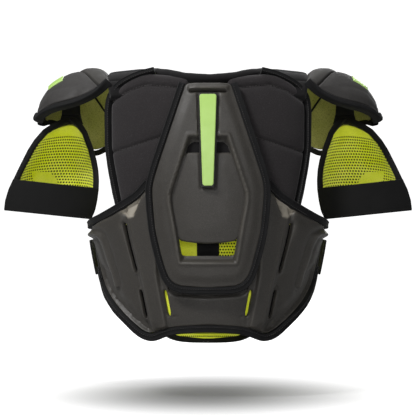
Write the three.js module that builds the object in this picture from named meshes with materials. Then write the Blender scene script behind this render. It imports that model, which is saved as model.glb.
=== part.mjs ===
// Hockey shoulder pads: a back half with a floating spine guard, a front half that swings open from the
// shoulders, two lifting shoulder caps and two hanging arm guards, closed by elastic side and arm straps.
// Millimetres. +X is the wearer's right, +Y is forwards, +Z is up, and Z = 0 is the lowest hem.
import * as THREE from "three";
import { LoftGeometry } from "three/addons/geometries/LoftGeometry.js";
import { TessellateModifier } from "three/addons/modifiers/TessellateModifier.js";
import { mergeVertices } from "three/addons/utils/BufferGeometryUtils.js";

// ---- Driving dimensions ----

// The torso that the pads wrap round. Each half's section is a wide arc that turns into a tight side arc.
const FLAT_RADIUS = 280;
const SIDE_RADIUS = 80;
const TORSO_HALF_WIDTH = 149;
const HALF_GAP = 12; // the back half's torso arc stands this far behind the mid plane
const FRONT_SHIFT = 10; // the front half is the back half's mirror image, moved this far forwards
const WAIST_Z = 175; // below this height the torso narrows
const WAIST_TAPER = 0.26;
const CHEST_Z = 220; // the deepest height
const SHOULDER_RISE = 240; // above the chest the depth falls off as an ellipse of this half height
const BELLY_TAPER = 0.1;

// How far each layer stands off the wearer: [inner face, outer face].
const LINER = [0, 3];
const SPINE_STRAP = [4.5, 7];
const FOAM = [4.6, 11.6];
const UPPER_PAD = [4.6, 18];
const SHELL = [13.2, 19];
const BINDING = [1, 20.5];
const WING_BAND = [4.6, 22];
const SPINE = [24, 33];
const SPINE_BINDING = [23, 34];
const FRONT_PAD = [4.6, 15];
const CHEST_PLATE = [16.6, 23];
const LOOP_PATCH = [16.4, 18];
// Outlines are drawn as seen from straight behind when raised this far off the wearer.
const DRAWN_AT = 19;
const SPINE_DRAWN_AT = 33;

const BINDING_WIDTH = 9;
const HEM_WIDTH = 11;
const BAND_WIDTH = 12;
const SLOT_WIDTH = 2.6;

const SPINE_TOP_Z = 378;
const INSERT_FACE_Y = -131;
const INSERT_THICKNESS = 5;
const TONGUE = { topZ: 364, bottomZ: 231, topHalf: 15, bottomHalf: 10.7, lift: 1, thickness: 4 };
const TAB = { margin: 2.7, lift: 0.4, thickness: 1.5 };

const COLLAR_RADII = [8, 6];
const BRIDGE = { innerX: 93, outerX: 136, innerTop: 401, outerTop: 395, thickness: 9, halfLength: 60 };
const STERNUM = { innerY: 132.5, outerY: 144 };

const CAP_HALF_DEPTH = 74;
const CAP_TIP_DEPTH = 32;
const CAP_REAR_TURN = 62; // degrees that the cap's section turns through from its top to each rim
const CAP_FRONT_TURN = 80;
const CAP_SHELL = [-8, 0];
const CAP_LINER = [-12, -10];
const CAP_RIM = { width: 9, depth: [-13, 1] };
const CAP_GIRTH = { neckSide: 90, tip: 40 }; // half the way over the cap from rim to rim
const CAP_REACH = 0.89; // the dome ends at this share of the way to the tip

const GUARD_TOP_Z = 332;
const GUARD_EDGE_Y = -8;
// How far inside the guard's outer surface each of its layers lies.
const GUARD_SHELL = [1, 6];
const GUARD_LINER = [7, 10];
const GUARD_BINDING = { width: 9, depth: [0, 11] };
const GUARD_HEM = { middleZ: 196, slope: 5 }; // the hem's height at its middle, and its rise to the outer edge
const GUARD_TOP_DROP = 8; // how much lower the top is at the edges than at the middle
const GUARD_DEPTH = { bottom: 50, top: 24 }; // how far forwards the guard's middle stands from its edges
const GUARD_GIRTH = { bottom: 84, top: 28 }; // half the way round the guard from edge to edge
const GUARD_MARGIN = 8.3; // room for the binding beside the guard's sheets
const HANGER = { minX: 188, maxX: 211, y: 14, thickness: 4, bottomZ: 340, topZ: 369 };
const ARM_STRAP = { bottomZ: 193, slope: 6.5, height: 45, edgeGap: 1, clearance: 7, bulge: 14, thickness: 2.5 };
const SIDE_STRAP = { bottomZ: 107, topZ: 157, rearY: -8, standOff: 22.5, wrapDegrees: 42, thickness: 2.5 };

const materials = {
  moulded: new THREE.MeshStandardMaterial({ color: 0x45423e, roughness: 0.62, metalness: 0 }),
  fabric: new THREE.MeshStandardMaterial({ color: 0x2f2c2d, roughness: 0.85, metalness: 0 }),
  webbing: new THREE.MeshStandardMaterial({ color: 0x1d1d1f, roughness: 0.9, metalness: 0 }),
  liner: new THREE.MeshStandardMaterial({ color: 0xb5c418, roughness: 0.8, metalness: 0 }),
  tab: new THREE.MeshStandardMaterial({ color: 0xb9e67a, roughness: 0.45, metalness: 0 }),
};

// ---- The torso surface ----

const turnAngle = Math.asin((TORSO_HALF_WIDTH - SIDE_RADIUS) / (FLAT_RADIUS - SIDE_RADIUS));
const flatArc = FLAT_RADIUS * turnAngle;
const flatDrop = (FLAT_RADIUS - SIDE_RADIUS) * Math.cos(turnAngle);

function widthScale(z) {
  return z < WAIST_Z ? 1 - WAIST_TAPER * ((WAIST_Z - z) / WAIST_Z) ** 1.3 : 1;
}

function depthScale(z) {
  if (z < CHEST_Z) return 1 - BELLY_TAPER * ((CHEST_Z - z) / CHEST_Z) ** 2;
  return Math.sqrt(1 - ((z - CHEST_Z) / SHOULDER_RISE) ** 2);
}

// The wearer's back at arc length s from the spine and height z.
function torsoPoint(s, z) {
  const arc = Math.abs(s);
  const onFlat = arc < flatArc;
  const angle = onFlat ? arc / FLAT_RADIUS : turnAngle + (arc - flatArc) / SIDE_RADIUS;
  const radius = onFlat ? FLAT_RADIUS : SIDE_RADIUS;
  const across = radius * Math.sin(angle) + (onFlat ? 0 : TORSO_HALF_WIDTH - SIDE_RADIUS);
  const depth = radius * Math.cos(angle) - (onFlat ? flatDrop : 0);
  const x = Math.sign(s) * across * widthScale(z);
  return new THREE.Vector3(x, -HALF_GAP - depth * depthScale(z), z);
}

// A flat pattern point (s, z) wrapped round the torso and raised by out along the surface's normal.
function wrap(s, z, out) {
  const step = 0.5;
  const along = torsoPoint(s + step, z).sub(torsoPoint(s - step, z));
  const up = torsoPoint(s, z + step).sub(torsoPoint(s, z - step));
  return torsoPoint(s, z).addScaledVector(along.cross(up).normalize(), out);
}

// The pattern point that is seen from straight behind at (x, z) once it is wrapped and raised by out.
function unwrap(x, z, out) {
  let s = x;
  let height = z;
  for (let i = 0; i < 80; i++) {
    const p = wrap(s, height, out);
    s += x - p.x;
    height += z - p.z;
  }
  return new THREE.Vector2(s, height);
}

// ---- Making solids ----

// A closed body from loose triangles, each of whose corners is moved by the place function.
function mapVertices(geometry, place) {
  const bare = geometry.index ? geometry.toNonIndexed() : geometry.clone();
  bare.deleteAttribute("normal");
  bare.deleteAttribute("uv");
  const position = bare.getAttribute("position");
  const from = new THREE.Vector3();
  for (let i = 0; i < position.count; i++) {
    const to = place(from.fromBufferAttribute(position, i));
    position.setXYZ(i, to.x, to.y, to.z);
  }
  return faceOut(mergeVertices(bare, 1e-3));
}

// Turns the faces round if the body is inside out.
function faceOut(geometry) {
  const position = geometry.getAttribute("position");
  const index = geometry.index.array;
  const [a, b, c] = [new THREE.Vector3(), new THREE.Vector3(), new THREE.Vector3()];
  let volume = 0;
  for (let i = 0; i < index.length; i += 3) {
    a.fromBufferAttribute(position, index[i]);
    b.fromBufferAttribute(position, index[i + 1]);
    c.fromBufferAttribute(position, index[i + 2]);
    volume += a.dot(b.cross(c));
  }
  for (let i = 0; volume < 0 && i < index.length; i += 3) {
    [index[i + 1], index[i + 2]] = [index[i + 2], index[i + 1]];
  }
  geometry.computeVertexNormals();
  return geometry;
}

function solid(name, geometry, material) {
  const mesh = new THREE.Mesh(geometry, materials[material]);
  mesh.name = name;
  return mesh;
}

// A right piece and its mirror image on the left.
function pair(name, geometry, material) {
  const leftGeometry = mapVertices(geometry, (p) => new THREE.Vector3(-p.x, p.y, p.z));
  return [solid(`${name}_right`, geometry, material), solid(`${name}_left`, leftGeometry, material)];
}

// A piece modelled on the back half, moved to the front half.
function toFront(geometry) {
  return mapVertices(geometry, (p) => new THREE.Vector3(p.x, FRONT_SHIFT - p.y, p.z));
}

// A sheet cut to an outline of [x, z] points seen from behind, wrapped round the torso between two layers.
function panelGeometry(outline, [inner, outer], cell, holes = [], drawnAt = DRAWN_AT) {
  const flatten = (points) => points.map(([x, z]) => unwrap(x, z, drawnAt));
  const shape = new THREE.Shape(flatten(outline));
  shape.holes = holes.map((hole) => new THREE.Path(flatten(hole)));
  const sheet = new THREE.ExtrudeGeometry(shape, { depth: outer - inner, bevelEnabled: false });
  sheet.deleteAttribute("normal");
  sheet.deleteAttribute("uv");
  const fine = new TessellateModifier(cell, 24).modify(sheet);
  return mapVertices(fine, (p) => wrap(p.x, p.y, inner + p.z));
}

// A closed outline made from its right half and that half's mirror image.
function mirrored(half) {
  const left = half.filter(([x]) => x > 0).map(([x, z]) => [-x, z]);
  return [...half, ...left.reverse()];
}

// An open line through the right half's points and their mirror images, from left to right.
function spanned(half) {
  const left = half.filter(([x]) => x > 0).map(([x, z]) => [-x, z]);
  return [...left.reverse(), ...half];
}

// Points spaced along a smooth curve through the given [x, z] points.
function smooth(points, count) {
  const curve = new THREE.CatmullRomCurve3(
    points.map(([x, z]) => new THREE.Vector3(x, z, 0)),
    false,
    "centripetal",
  );
  return curve.getSpacedPoints(count).map((p) => [p.x, p.y]);
}

// A flat-bottomed strip section with softened top corners, as [across, up] points.
function stripProfile(width, low, high) {
  const half = width / 2;
  const shoulder = low + (high - low) * 0.75;
  const crest = half * 0.6;
  return [
    [half, low],
    [half, shoulder],
    [crest, high],
    [-crest, high],
    [-half, shoulder],
    [-half, low],
  ];
}

// A section carried along a row of frames, each with an origin and two axes.
function sweep(frames, profile) {
  const sections = frames.map(({ origin, side, up }) =>
    profile.map(([a, b]) => origin.clone().addScaledVector(side, a).addScaledVector(up, b)),
  );
  return new LoftGeometry(sections, { capStart: true, capEnd: true });
}

function neighbours(items, i) {
  return [items[Math.max(i - 1, 0)], items[Math.min(i + 1, items.length - 1)]];
}

// A strip centred on [x, z] points seen from behind and wrapped round the torso.
function stripGeometry(points, width, [inner, outer], drawnAt = DRAWN_AT) {
  const path = points.map(([x, z]) => unwrap(x, z, drawnAt));
  const frames = path.map((p, i) => {
    const [before, after] = neighbours(path, i);
    const ahead = after.clone().sub(before).normalize();
    return {
      origin: new THREE.Vector3(p.x, p.y, 0),
      side: new THREE.Vector3(-ahead.y, ahead.x, 0),
      up: new THREE.Vector3(0, 0, 1),
    };
  });
  return mapVertices(sweep(frames, stripProfile(width, inner, outer)), (p) => wrap(p.x, p.y, p.z));
}

// The normal of a surface function of two numbers from -1 or 0 to 1.
function surfaceNormal(surface, a, b) {
  const step = 0.002;
  const alongA = surface(a + step, b).sub(surface(a - step, b));
  const alongB = surface(a, b + step).sub(surface(a, b - step));
  return alongA.cross(alongB).normalize();
}

// A sheet between two offsets from a surface. The chart maps u and v, from 0 to 1, to the surface's a and b.
function sheetGeometry(surface, [inner, outer], [uCells, vCells], chart = (u, v) => [u, v]) {
  const box = new THREE.BoxGeometry(1, 1, 1, uCells, vCells, 1);
  return mapVertices(box, (p) => {
    const [a, b] = chart(p.x + 0.5, p.y + 0.5);
    const out = THREE.MathUtils.lerp(inner, outer, p.z + 0.5);
    return surface(a, b).addScaledVector(surfaceNormal(surface, a, b), out);
  });
}

// A strip that follows a path of [a, b] points on a surface.
function edgeStripGeometry(surface, path, width, [inner, outer]) {
  const points = path.map(([a, b]) => surface(a, b));
  const frames = points.map((origin, i) => {
    const [before, after] = neighbours(points, i);
    const up = surfaceNormal(surface, ...path[i]);
    const side = up.clone().cross(after.clone().sub(before)).normalize();
    return { origin, side, up };
  });
  return mapVertices(sweep(frames, stripProfile(width, inner, outer)), (p) => p);
}

// A height that depends on x, read off a row of [x, height] points.
function interpolate(points, x) {
  const found = points.findIndex(([px]) => px >= x);
  const next = found < 0 ? points.length - 1 : Math.max(1, found);
  const [[x0, y0], [x1, y1]] = [points[next - 1], points[next]];
  return THREE.MathUtils.lerp(y0, y1, (x - x0) / (x1 - x0));
}

// ---- The back half ----

function backLiner() {
  const half = [
    [0, 44],
    [60, 41],
    [82, 37],
    [107, 57],
    [126, 80],
    [141, 108],
    [149, 140],
    [154, 162],
    [126, 181],
    [120, 215],
    [125, 254],
    [130, 286],
    [132, 345],
    [120, 360],
    [88, 371],
    [0, 364],
  ];
  return solid("back_liner", panelGeometry(mirrored(half), LINER, 44), "liner");
}

function upperPads() {
  const outline = [
    [48, 236],
    [76, 246],
    [90, 240],
    [105, 217],
    [121, 211],
    [130.5, 254],
    [136, 286],
    [136.5, 345],
    [131, 357],
    [110, 367],
    [90, 374],
    [26, 372],
    [30, 330],
  ];
  return pair("upper_pad", panelGeometry(outline, UPPER_PAD, 31), "fabric");
}

// The binding along the top and the armhole edge of each upper pad.
function armholeBindings() {
  const edge = [
    [96, 380],
    [114, 373],
    [129, 367],
    [138, 359],
    [142, 345],
    [142.5, 320],
    [141.5, 286],
    [136, 254],
    [128.5, 216],
  ];
  return pair("armhole_binding", stripGeometry(smooth(edge, 16), BINDING_WIDTH, BINDING), "webbing");
}

// A straight slit between two points, as a hole outline.
function slot([x0, z0], [x1, z1]) {
  const length = Math.hypot(x1 - x0, z1 - z0);
  const dx = (((z1 - z0) / length) * SLOT_WIDTH) / 2;
  const dz = (((x1 - x0) / length) * SLOT_WIDTH) / 2;
  return [
    [x0 + dx, z0 - dz],
    [x1 + dx, z1 - dz],
    [x1 - dx, z1 + dz],
    [x0 - dx, z0 + dz],
  ];
}

// The moulded lower back with its wings. Slits from [top] to [bottom] let the wings flex.
function lowerShell() {
  const half = [
    [0, 42],
    [45, 39],
    [64, 34.7],
    [79, 31],
    [87.5, 33.7],
    [109, 50.8],
    [128.5, 73.5],
    [140, 92.2],
    [145.7, 103.8],
    [151, 112],
    [157.5, 140],
    [163.5, 168.5],
    [126.3, 190],
    [95.4, 203],
    [78.5, 228],
    [70, 180],
    [58, 133],
    [50, 118],
    [0, 112],
  ];
  const slits = [
    [[118, 182], [101, 112]],
    [[95.4, 88.5], [87, 48]],
    [[60.7, 88], [54, 52]],
  ];
  const right = slits.map(([top, bottom]) => slot(top, bottom));
  const left = right.map((hole) => hole.map(([x, z]) => [-x, z]));
  return solid("lower_back_shell", panelGeometry(mirrored(half), SHELL, 32, [...right, ...left]), "moulded");
}

// Foam behind the outer part of each wing. It stops short of the inner slits, which show the liner.
function wingFoam() {
  const outline = [
    [74, 46],
    [84, 42],
    [106, 59],
    [124, 80],
    [139, 108],
    [147, 140],
    [152, 160],
    [124, 178],
    [98, 192],
    [92, 176],
    [80, 130],
    [72, 96],
  ];
  return pair("wing_foam", panelGeometry(outline, FOAM, 30), "webbing");
}

// The broad elastic band along each wing's top edge.
function wingBands() {
  const edge = [
    [84, 233],
    [91, 221],
    [101, 209],
    [129, 196.8],
    [162, 180.5],
  ];
  return pair("wing_band", stripGeometry(smooth(edge, 9), BAND_WIDTH, WING_BAND), "webbing");
}

function backHemBinding() {
  const half = [
    [0, 35],
    [45, 32],
    [62, 28],
    [79, 23.5],
    [92, 27],
    [114, 46],
    [134, 69.5],
    [146, 89],
    [151.5, 101.5],
  ];
  const path = smooth(spanned(half), 36);
  return solid("back_hem_binding", stripGeometry(path, HEM_WIDTH, BINDING), "webbing");
}

// The webbing behind the spine guard, seen through its lower vent.
function spineStrap() {
  const half = [
    [0, 122],
    [16, 122],
    [16, 362],
    [0, 362],
  ];
  return solid("spine_strap", panelGeometry(mirrored(half), SPINE_STRAP, 60), "webbing");
}

// The padded roll round the back of the neck.
function collar() {
  const half = [
    [0, -92, 386],
    [45, -84, 388.5],
    [76, -56, 394],
    [83, -8, 395],
  ];
  const left = half.slice(1).map(([x, y, z]) => [-x, y, z]).reverse();
  const curve = new THREE.CatmullRomCurve3([...left, ...half].map((p) => new THREE.Vector3(...p)));
  const [halfWidth, halfHeight] = COLLAR_RADII;
  const corners = 8;
  const profile = Array.from({ length: corners }, (_, i) => {
    const angle = (i / corners) * 2 * Math.PI;
    return [halfWidth * Math.cos(angle), halfHeight * Math.sin(angle)];
  });
  const steps = 20;
  const frames = curve.getSpacedPoints(steps).map((origin, i) => {
    const ahead = curve.getTangentAt(i / steps);
    const side = new THREE.Vector3(0, 0, 1).cross(ahead).normalize();
    return { origin, side, up: ahead.clone().cross(side) };
  });
  return solid("collar", mapVertices(sweep(frames, profile), (p) => p), "webbing");
}

// The padded strap over each shoulder that joins the back half to the front half.
function shoulderBridges() {
  const { innerX, outerX, innerTop, outerTop, thickness, halfLength } = BRIDGE;
  const box = new THREE.BoxGeometry(1, 1, 1, 1, 1, 1);
  const geometry = mapVertices(box, (p) => {
    const top = THREE.MathUtils.lerp(innerTop, outerTop, p.x + 0.5);
    const x = THREE.MathUtils.lerp(innerX, outerX, p.x + 0.5);
    return new THREE.Vector3(x, 2 * p.y * halfLength, top - (0.5 - p.z) * thickness);
  });
  return pair("shoulder_bridge", geometry, "fabric");
}

// ---- The spine guard ----

function spineFrame() {
  const half = [
    [0, 94.5],
    [41, 98],
    [51, 106],
    [58, 119],
    [72, 172],
    [76.5, 228],
    [74.5, 241],
    [68.5, 262],
    [59.5, 290],
    [41, 345],
    [30, SPINE_TOP_Z],
    [0, SPINE_TOP_Z],
  ];
  const windowHalf = [
    [37, 125],
    [39.5, 132],
    [47, 176],
    [53.5, 210],
    [54, 224],
    [27.5, 304],
  ];
  const geometry = panelGeometry(mirrored(half), SPINE, 42, [mirrored(windowHalf)], SPINE_DRAWN_AT);
  return solid("spine_frame", geometry, "moulded");
}

function spineBinding() {
  const half = [
    [0, 88],
    [44, 91],
    [57, 101],
    [64.5, 117],
    [78.5, 172],
    [83, 228],
    [81, 242],
    [75, 263],
    [66, 290],
    [47.5, 345],
    [36.5, SPINE_TOP_Z],
  ];
  const path = smooth(spanned(half), 40);
  const geometry = stripGeometry(path, BINDING_WIDTH, SPINE_BINDING, SPINE_DRAWN_AT);
  return solid("spine_binding", geometry, "webbing");
}

// A flat plate between two depths, with an outline of [x, z] points.
function plateGeometry(outline, nearY, farY) {
  const shape = new THREE.Shape(outline.map(([x, z]) => new THREE.Vector2(x, z)));
  const plate = new THREE.ExtrudeGeometry(shape, { depth: farY - nearY, bevelEnabled: false });
  return mapVertices(plate, (p) => new THREE.Vector3(p.x, nearY + p.z, p.y));
}

// The flat plate inside the spine frame's window, notched at the top for the tongue.
function spineInsert() {
  const { bottomZ, bottomHalf, topHalf } = TONGUE;
  const half = [
    [0, 154],
    [25, 155],
    [40, 158],
    [44.5, 176],
    [50.5, 210],
    [51, 224],
    [33, 280],
    [topHalf, 280],
    [bottomHalf + 1, bottomZ - 2],
    [0, bottomZ - 2],
  ];
  const geometry = plateGeometry(mirrored(half), INSERT_FACE_Y, INSERT_FACE_Y + INSERT_THICKNESS);
  return solid("spine_insert", geometry, "moulded");
}

// A point on the spine frame's outer face, on the mid line at height z, raised by out.
function spineFace(z, out) {
  const foot = unwrap(0, z, SPINE_DRAWN_AT);
  return wrap(foot.x, foot.y, SPINE[1] + out);
}

// A tapered bar down the middle of the spine guard, between two heights above its face.
function tongueGeometry(margin, low, high) {
  const { topZ, bottomZ, topHalf, bottomHalf } = TONGUE;
  const box = new THREE.BoxGeometry(1, 1, 1, 1, 6, 1);
  return mapVertices(box, (p) => {
    const z = THREE.MathUtils.lerp(bottomZ + margin, topZ - margin, p.y + 0.5);
    const half = THREE.MathUtils.lerp(bottomHalf, topHalf, p.y + 0.5) - margin;
    const face = spineFace(z, THREE.MathUtils.lerp(low, high, p.z + 0.5));
    return new THREE.Vector3(2 * p.x * half, face.y, face.z);
  });
}

// The tongue that comes down from the frame over the window, and the plain coloured tab on it.
function spineTongue() {
  const { lift, thickness } = TONGUE;
  return solid("spine_tongue", tongueGeometry(0, lift, lift + thickness), "moulded");
}

function spineTab() {
  const low = TONGUE.lift + TONGUE.thickness + TAB.lift;
  return solid("spine_tab", tongueGeometry(TAB.margin, low, low + TAB.thickness), "tab");
}

// ---- The front half ----

function frontLiner() {
  const half = [
    [0, 14],
    [52, 18],
    [84, 42],
    [112, 88],
    [130, 140],
    [138, 178],
    [122, 210],
    [122, 260],
    [128, 320],
    [128, 351],
    [122, 361],
    [104, 369],
    [92, 357],
    [74, 334],
    [53, 312],
    [28, 294],
    [0, 288],
  ];
  return solid("front_liner", toFront(panelGeometry(mirrored(half), LINER, 44)), "liner");
}

function chestPad() {
  const half = [
    [0, 152],
    [132, 152],
    [140, 182],
    [124, 212],
    [124, 260],
    [130, 320],
    [130, 352],
    [124, 362],
    [105, 371],
    [91, 357],
    [73, 335],
    [52.5, 313.5],
    [27, 296],
    [0, 290],
  ];
  return solid("chest_pad", toFront(panelGeometry(mirrored(half), FRONT_PAD, 32)), "fabric");
}

function bellyPad() {
  const half = [
    [0, 14],
    [52, 18],
    [84, 42],
    [112, 88],
    [130, 148],
    [0, 148],
  ];
  return solid("belly_pad", toFront(panelGeometry(mirrored(half), FRONT_PAD, 32)), "fabric");
}

function chestPlates() {
  const outline = [
    [40, 178],
    [92, 176],
    [112, 202],
    [112, 262],
    [118, 322],
    [112, 344],
    [86, 348],
    [69, 328],
    [40, 300],
  ];
  return pair("chest_plate", toFront(panelGeometry(outline, CHEST_PLATE, 32)), "moulded");
}

// The flat plate over the breastbone.
function sternumPlate() {
  const half = [
    [0, 168],
    [28, 178],
    [35, 240],
    [35, 290],
    [0, 286],
  ];
  return solid("sternum_plate", plateGeometry(mirrored(half), STERNUM.innerY, STERNUM.outerY), "moulded");
}

function frontBindings() {
  const neck = [
    [0, 297],
    [24, 303],
    [48, 320],
    [68, 341],
    [86, 364],
    [95, 382],
  ];
  const armhole = [
    [112, 377],
    [130, 369],
    [136.5, 352],
    [136, 320],
    [131, 262],
    [130, 214],
    [147, 184],
  ];
  const hem = [
    [0, 4.3],
    [50, 8],
    [66, 17.4],
    [92, 40],
    [120, 88],
    [138, 142],
    [145, 176],
  ];
  const strip = (path, steps) => toFront(stripGeometry(smooth(path, steps), BINDING_WIDTH, BINDING));
  return [
    solid("front_neck_binding", strip(spanned(neck), 24), "webbing"),
    ...pair("front_armhole_binding", strip(armhole, 16), "webbing"),
    solid("front_hem_binding", strip(spanned(hem), 34), "webbing"),
  ];
}

// The fuzzy patches on the front half that the side straps fasten to.
function loopPatches() {
  const outline = [
    [104, 108],
    [119, 108],
    [129, 144],
    [112, 144],
  ];
  return pair("loop_patch", toFront(panelGeometry(outline, LOOP_PATCH, 30)), "fabric");
}

// ---- The side straps ----

// A point on the strap's path: straight past the gap between the halves, then round the front half's side.
function sideStrapPoint(along, z, out) {
  const { rearY, standOff, wrapDegrees } = SIDE_STRAP;
  const centreX = (TORSO_HALF_WIDTH - SIDE_RADIUS) * widthScale(z);
  const radius = SIDE_RADIUS * widthScale(z) + standOff;
  const turn = THREE.MathUtils.degToRad(wrapDegrees);
  const frontY = HALF_GAP + FRONT_SHIFT;
  const straight = frontY - rearY;
  const distance = along * (straight + radius * turn);
  if (distance < straight) return new THREE.Vector3(centreX + radius + out, rearY + distance, z);
  const angle = (distance - straight) / radius;
  const x = centreX + (radius + out) * Math.cos(angle);
  return new THREE.Vector3(x, frontY + (radius + out) * Math.sin(angle), z);
}

function sideStrapGeometry([start, end], [bottomZ, topZ], [inner, outer], cells) {
  const box = new THREE.BoxGeometry(1, 1, 1, cells, 1, 1);
  return mapVertices(box, (p) => {
    const along = THREE.MathUtils.lerp(start, end, p.x + 0.5);
    const z = THREE.MathUtils.lerp(bottomZ, topZ, p.y + 0.5);
    return sideStrapPoint(along, z, THREE.MathUtils.lerp(inner, outer, p.z + 0.5));
  });
}

function sideStraps() {
  const { bottomZ, topZ, thickness } = SIDE_STRAP;
  const strap = sideStrapGeometry([0, 1], [bottomZ, topZ], [0, thickness], 8);
  const pull = sideStrapGeometry([0.72, 0.99], [bottomZ + 4, topZ - 4], [thickness + 0.5, thickness + 2.5], 2);
  return [...pair("side_strap", strap, "webbing"), ...pair("side_strap_pull", pull, "fabric")];
}

// ---- The shoulder caps ----

const capCurves = {
  top: [[142, 396], [160, 404.5], [184, 404.5], [208, 395], [229, 379], [243, 357], [249, 334]],
  rear: [[157, 371], [174, 360], [188, 355], [205, 350], [220, 343], [237, 333], [248, 326]],
  front: [[158, 292], [170, 286], [190, 295], [208, 313], [224, 326], [238, 329], [248, 326]],
};
const capCurve = Object.fromEntries(
  Object.entries(capCurves).map(([edge, points]) => [
    edge,
    new THREE.CatmullRomCurve3(points.map(([x, z]) => new THREE.Vector3(x, 0, z))),
  ]),
);

// The cap's outer surface: a runs from the neck side (0) to the tip (1), b from the rear rim (-1) over the
// top (0) to the front rim (1).
function capPoint(a, b) {
  const along = THREE.MathUtils.clamp(a, 0, 1);
  const turn = THREE.MathUtils.degToRad(b < 0 ? CAP_REAR_TURN : CAP_FRONT_TURN);
  const rim = (b < 0 ? capCurve.rear : capCurve.front).getPoint(along);
  const depth = THREE.MathUtils.lerp(CAP_HALF_DEPTH, CAP_TIP_DEPTH, along ** 3);
  const rise = (Math.cos(b * turn) - Math.cos(turn)) / (1 - Math.cos(turn));
  return rim.lerp(capCurve.top.getPoint(along), rise).setY((depth * Math.sin(b * turn)) / Math.sin(turn));
}

// The seam between the cap's inner segment and its dome, as a place along a for each b.
function capSeam(b) {
  return 0.42 - 0.3 * Math.abs(b);
}

// A chart for a sheet of the cap between two lines across it, with a margin that leaves room for the rim.
function capChart(start, end, margin) {
  return (u, v) => {
    const b = 2 * v - 1;
    const a = THREE.MathUtils.lerp(start(b), end(b), u);
    return [a, b * (1 - margin / THREE.MathUtils.lerp(CAP_GIRTH.neckSide, CAP_GIRTH.tip, a * a))];
  };
}

function caps() {
  const seamGap = 0.012;
  const shellMargin = 10.5;
  const linerMargin = 12;
  const beforeSeam = (b) => capSeam(b) - seamGap;
  const afterSeam = (b) => capSeam(b) + seamGap;
  const innerChart = capChart(() => 0.02, beforeSeam, shellMargin);
  const domeChart = capChart(afterSeam, () => CAP_REACH, shellMargin);
  const linerChart = capChart(() => 0.03, () => CAP_REACH - 0.02, linerMargin);
  const inner = sheetGeometry(capPoint, CAP_SHELL, [3, 10], innerChart);
  const dome = sheetGeometry(capPoint, CAP_SHELL, [5, 10], domeChart);
  const liner = sheetGeometry(capPoint, CAP_LINER, [6, 8], linerChart);
  const tab = sheetGeometry(capPoint, [0.5, 1.8], [2, 3], (u, v) => {
    return [THREE.MathUtils.lerp(0.6, 0.78, u), THREE.MathUtils.lerp(-0.16, 0.16, v)];
  });
  return [
    ...pair("cap_inner_segment", inner, "moulded"),
    ...pair("cap_shell", dome, "moulded"),
    ...pair("cap_liner", liner, "liner"),
    ...pair("cap_rim", capRim(), "webbing"),
    ...pair("cap_tab", tab, "tab"),
  ];
}

// The binding from the neck side along the rear rim, round the tip and back along the front rim.
function capRim() {
  const steps = 12;
  const outward = Array.from({ length: steps + 1 }, (_, i) => 0.02 + (0.96 * i) / steps);
  const round = [-0.6, -0.2, 0.2, 0.6].map((b) => [0.995, b]);
  const path = [...outward.map((a) => [a, -1]), ...round, ...outward.reverse().map((a) => [a, 1])];
  return edgeStripGeometry(capPoint, path, CAP_RIM.width, CAP_RIM.depth);
}

// ---- The arm guards ----

// Where the guard's two edges are across, as [height, x] points.
const guardInnerEdge = [
  [190, 168],
  [200, 164],
  [214, 161],
  [229, 159],
  [243, 158.5],
  [258, 159.5],
  [272, 162],
  [290, 167],
  [312, 175],
  [334, 189],
];
const guardOuterEdge = [
  [190, 292],
  [202, 293.5],
  [214, 292],
  [229, 287.5],
  [243, 281],
  [258, 274],
  [272, 267],
  [287, 259.5],
  [301, 250.5],
  [316, 237.5],
  [334, 211],
];

// The guard's outer surface: t runs from the edge by the wearer's side (-1) round the front to the far
// edge (1), and h from the bottom (0) to the top (1). Its normal points at the arm.
function guardPoint(t, h) {
  const topZ = GUARD_TOP_Z - GUARD_TOP_DROP * t * t;
  const bottomZ = GUARD_HEM.middleZ + GUARD_HEM.slope * t;
  const z = THREE.MathUtils.lerp(bottomZ, topZ, h);
  const left = interpolate(guardInnerEdge, z);
  const right = interpolate(guardOuterEdge, z);
  const angle = (t * Math.PI) / 2;
  const depth = THREE.MathUtils.lerp(GUARD_DEPTH.bottom, GUARD_DEPTH.top, h * h);
  const x = (left + right) / 2 + ((right - left) / 2) * Math.sin(angle);
  return new THREE.Vector3(x, GUARD_EDGE_Y + depth * Math.cos(angle), z);
}

// How far round the guard its sheets reach at height h, leaving room for the binding.
function guardReach(h) {
  return 1 - GUARD_MARGIN / THREE.MathUtils.lerp(GUARD_GIRTH.bottom, GUARD_GIRTH.top, h * h);
}

function guards() {
  const chart = (u, v) => {
    const h = 0.02 + 0.93 * v;
    return [(2 * u - 1) * guardReach(h), h];
  };
  const shell = sheetGeometry(guardPoint, GUARD_SHELL, [10, 5], chart);
  const liner = sheetGeometry(guardPoint, GUARD_LINER, [8, 5], chart);
  return [
    ...pair("biceps_shell", shell, "moulded"),
    ...pair("biceps_liner", liner, "liner"),
    ...pair("biceps_binding", guardBinding(), "webbing"),
  ];
}

// The binding up the inner edge, over the top and down the outer edge.
function guardBinding() {
  const rise = [0.02, 0.16, 0.3, 0.44, 0.58, 0.72, 0.86];
  const across = [-0.85, -0.5, 0, 0.5, 0.85].map((t) => [t, 0.995]);
  const path = [...rise.map((h) => [-1, h]), ...across, ...rise.reverse().map((h) => [1, h])];
  return edgeStripGeometry(guardPoint, path, GUARD_BINDING.width, GUARD_BINDING.depth);
}

function hangers() {
  const { minX, maxX, y, thickness, bottomZ, topZ } = HANGER;
  const box = new THREE.BoxGeometry(maxX - minX, thickness, topZ - bottomZ);
  box.translate((minX + maxX) / 2, y, (bottomZ + topZ) / 2);
  return pair("arm_hanger", mapVertices(box, (p) => p), "webbing");
}

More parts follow.
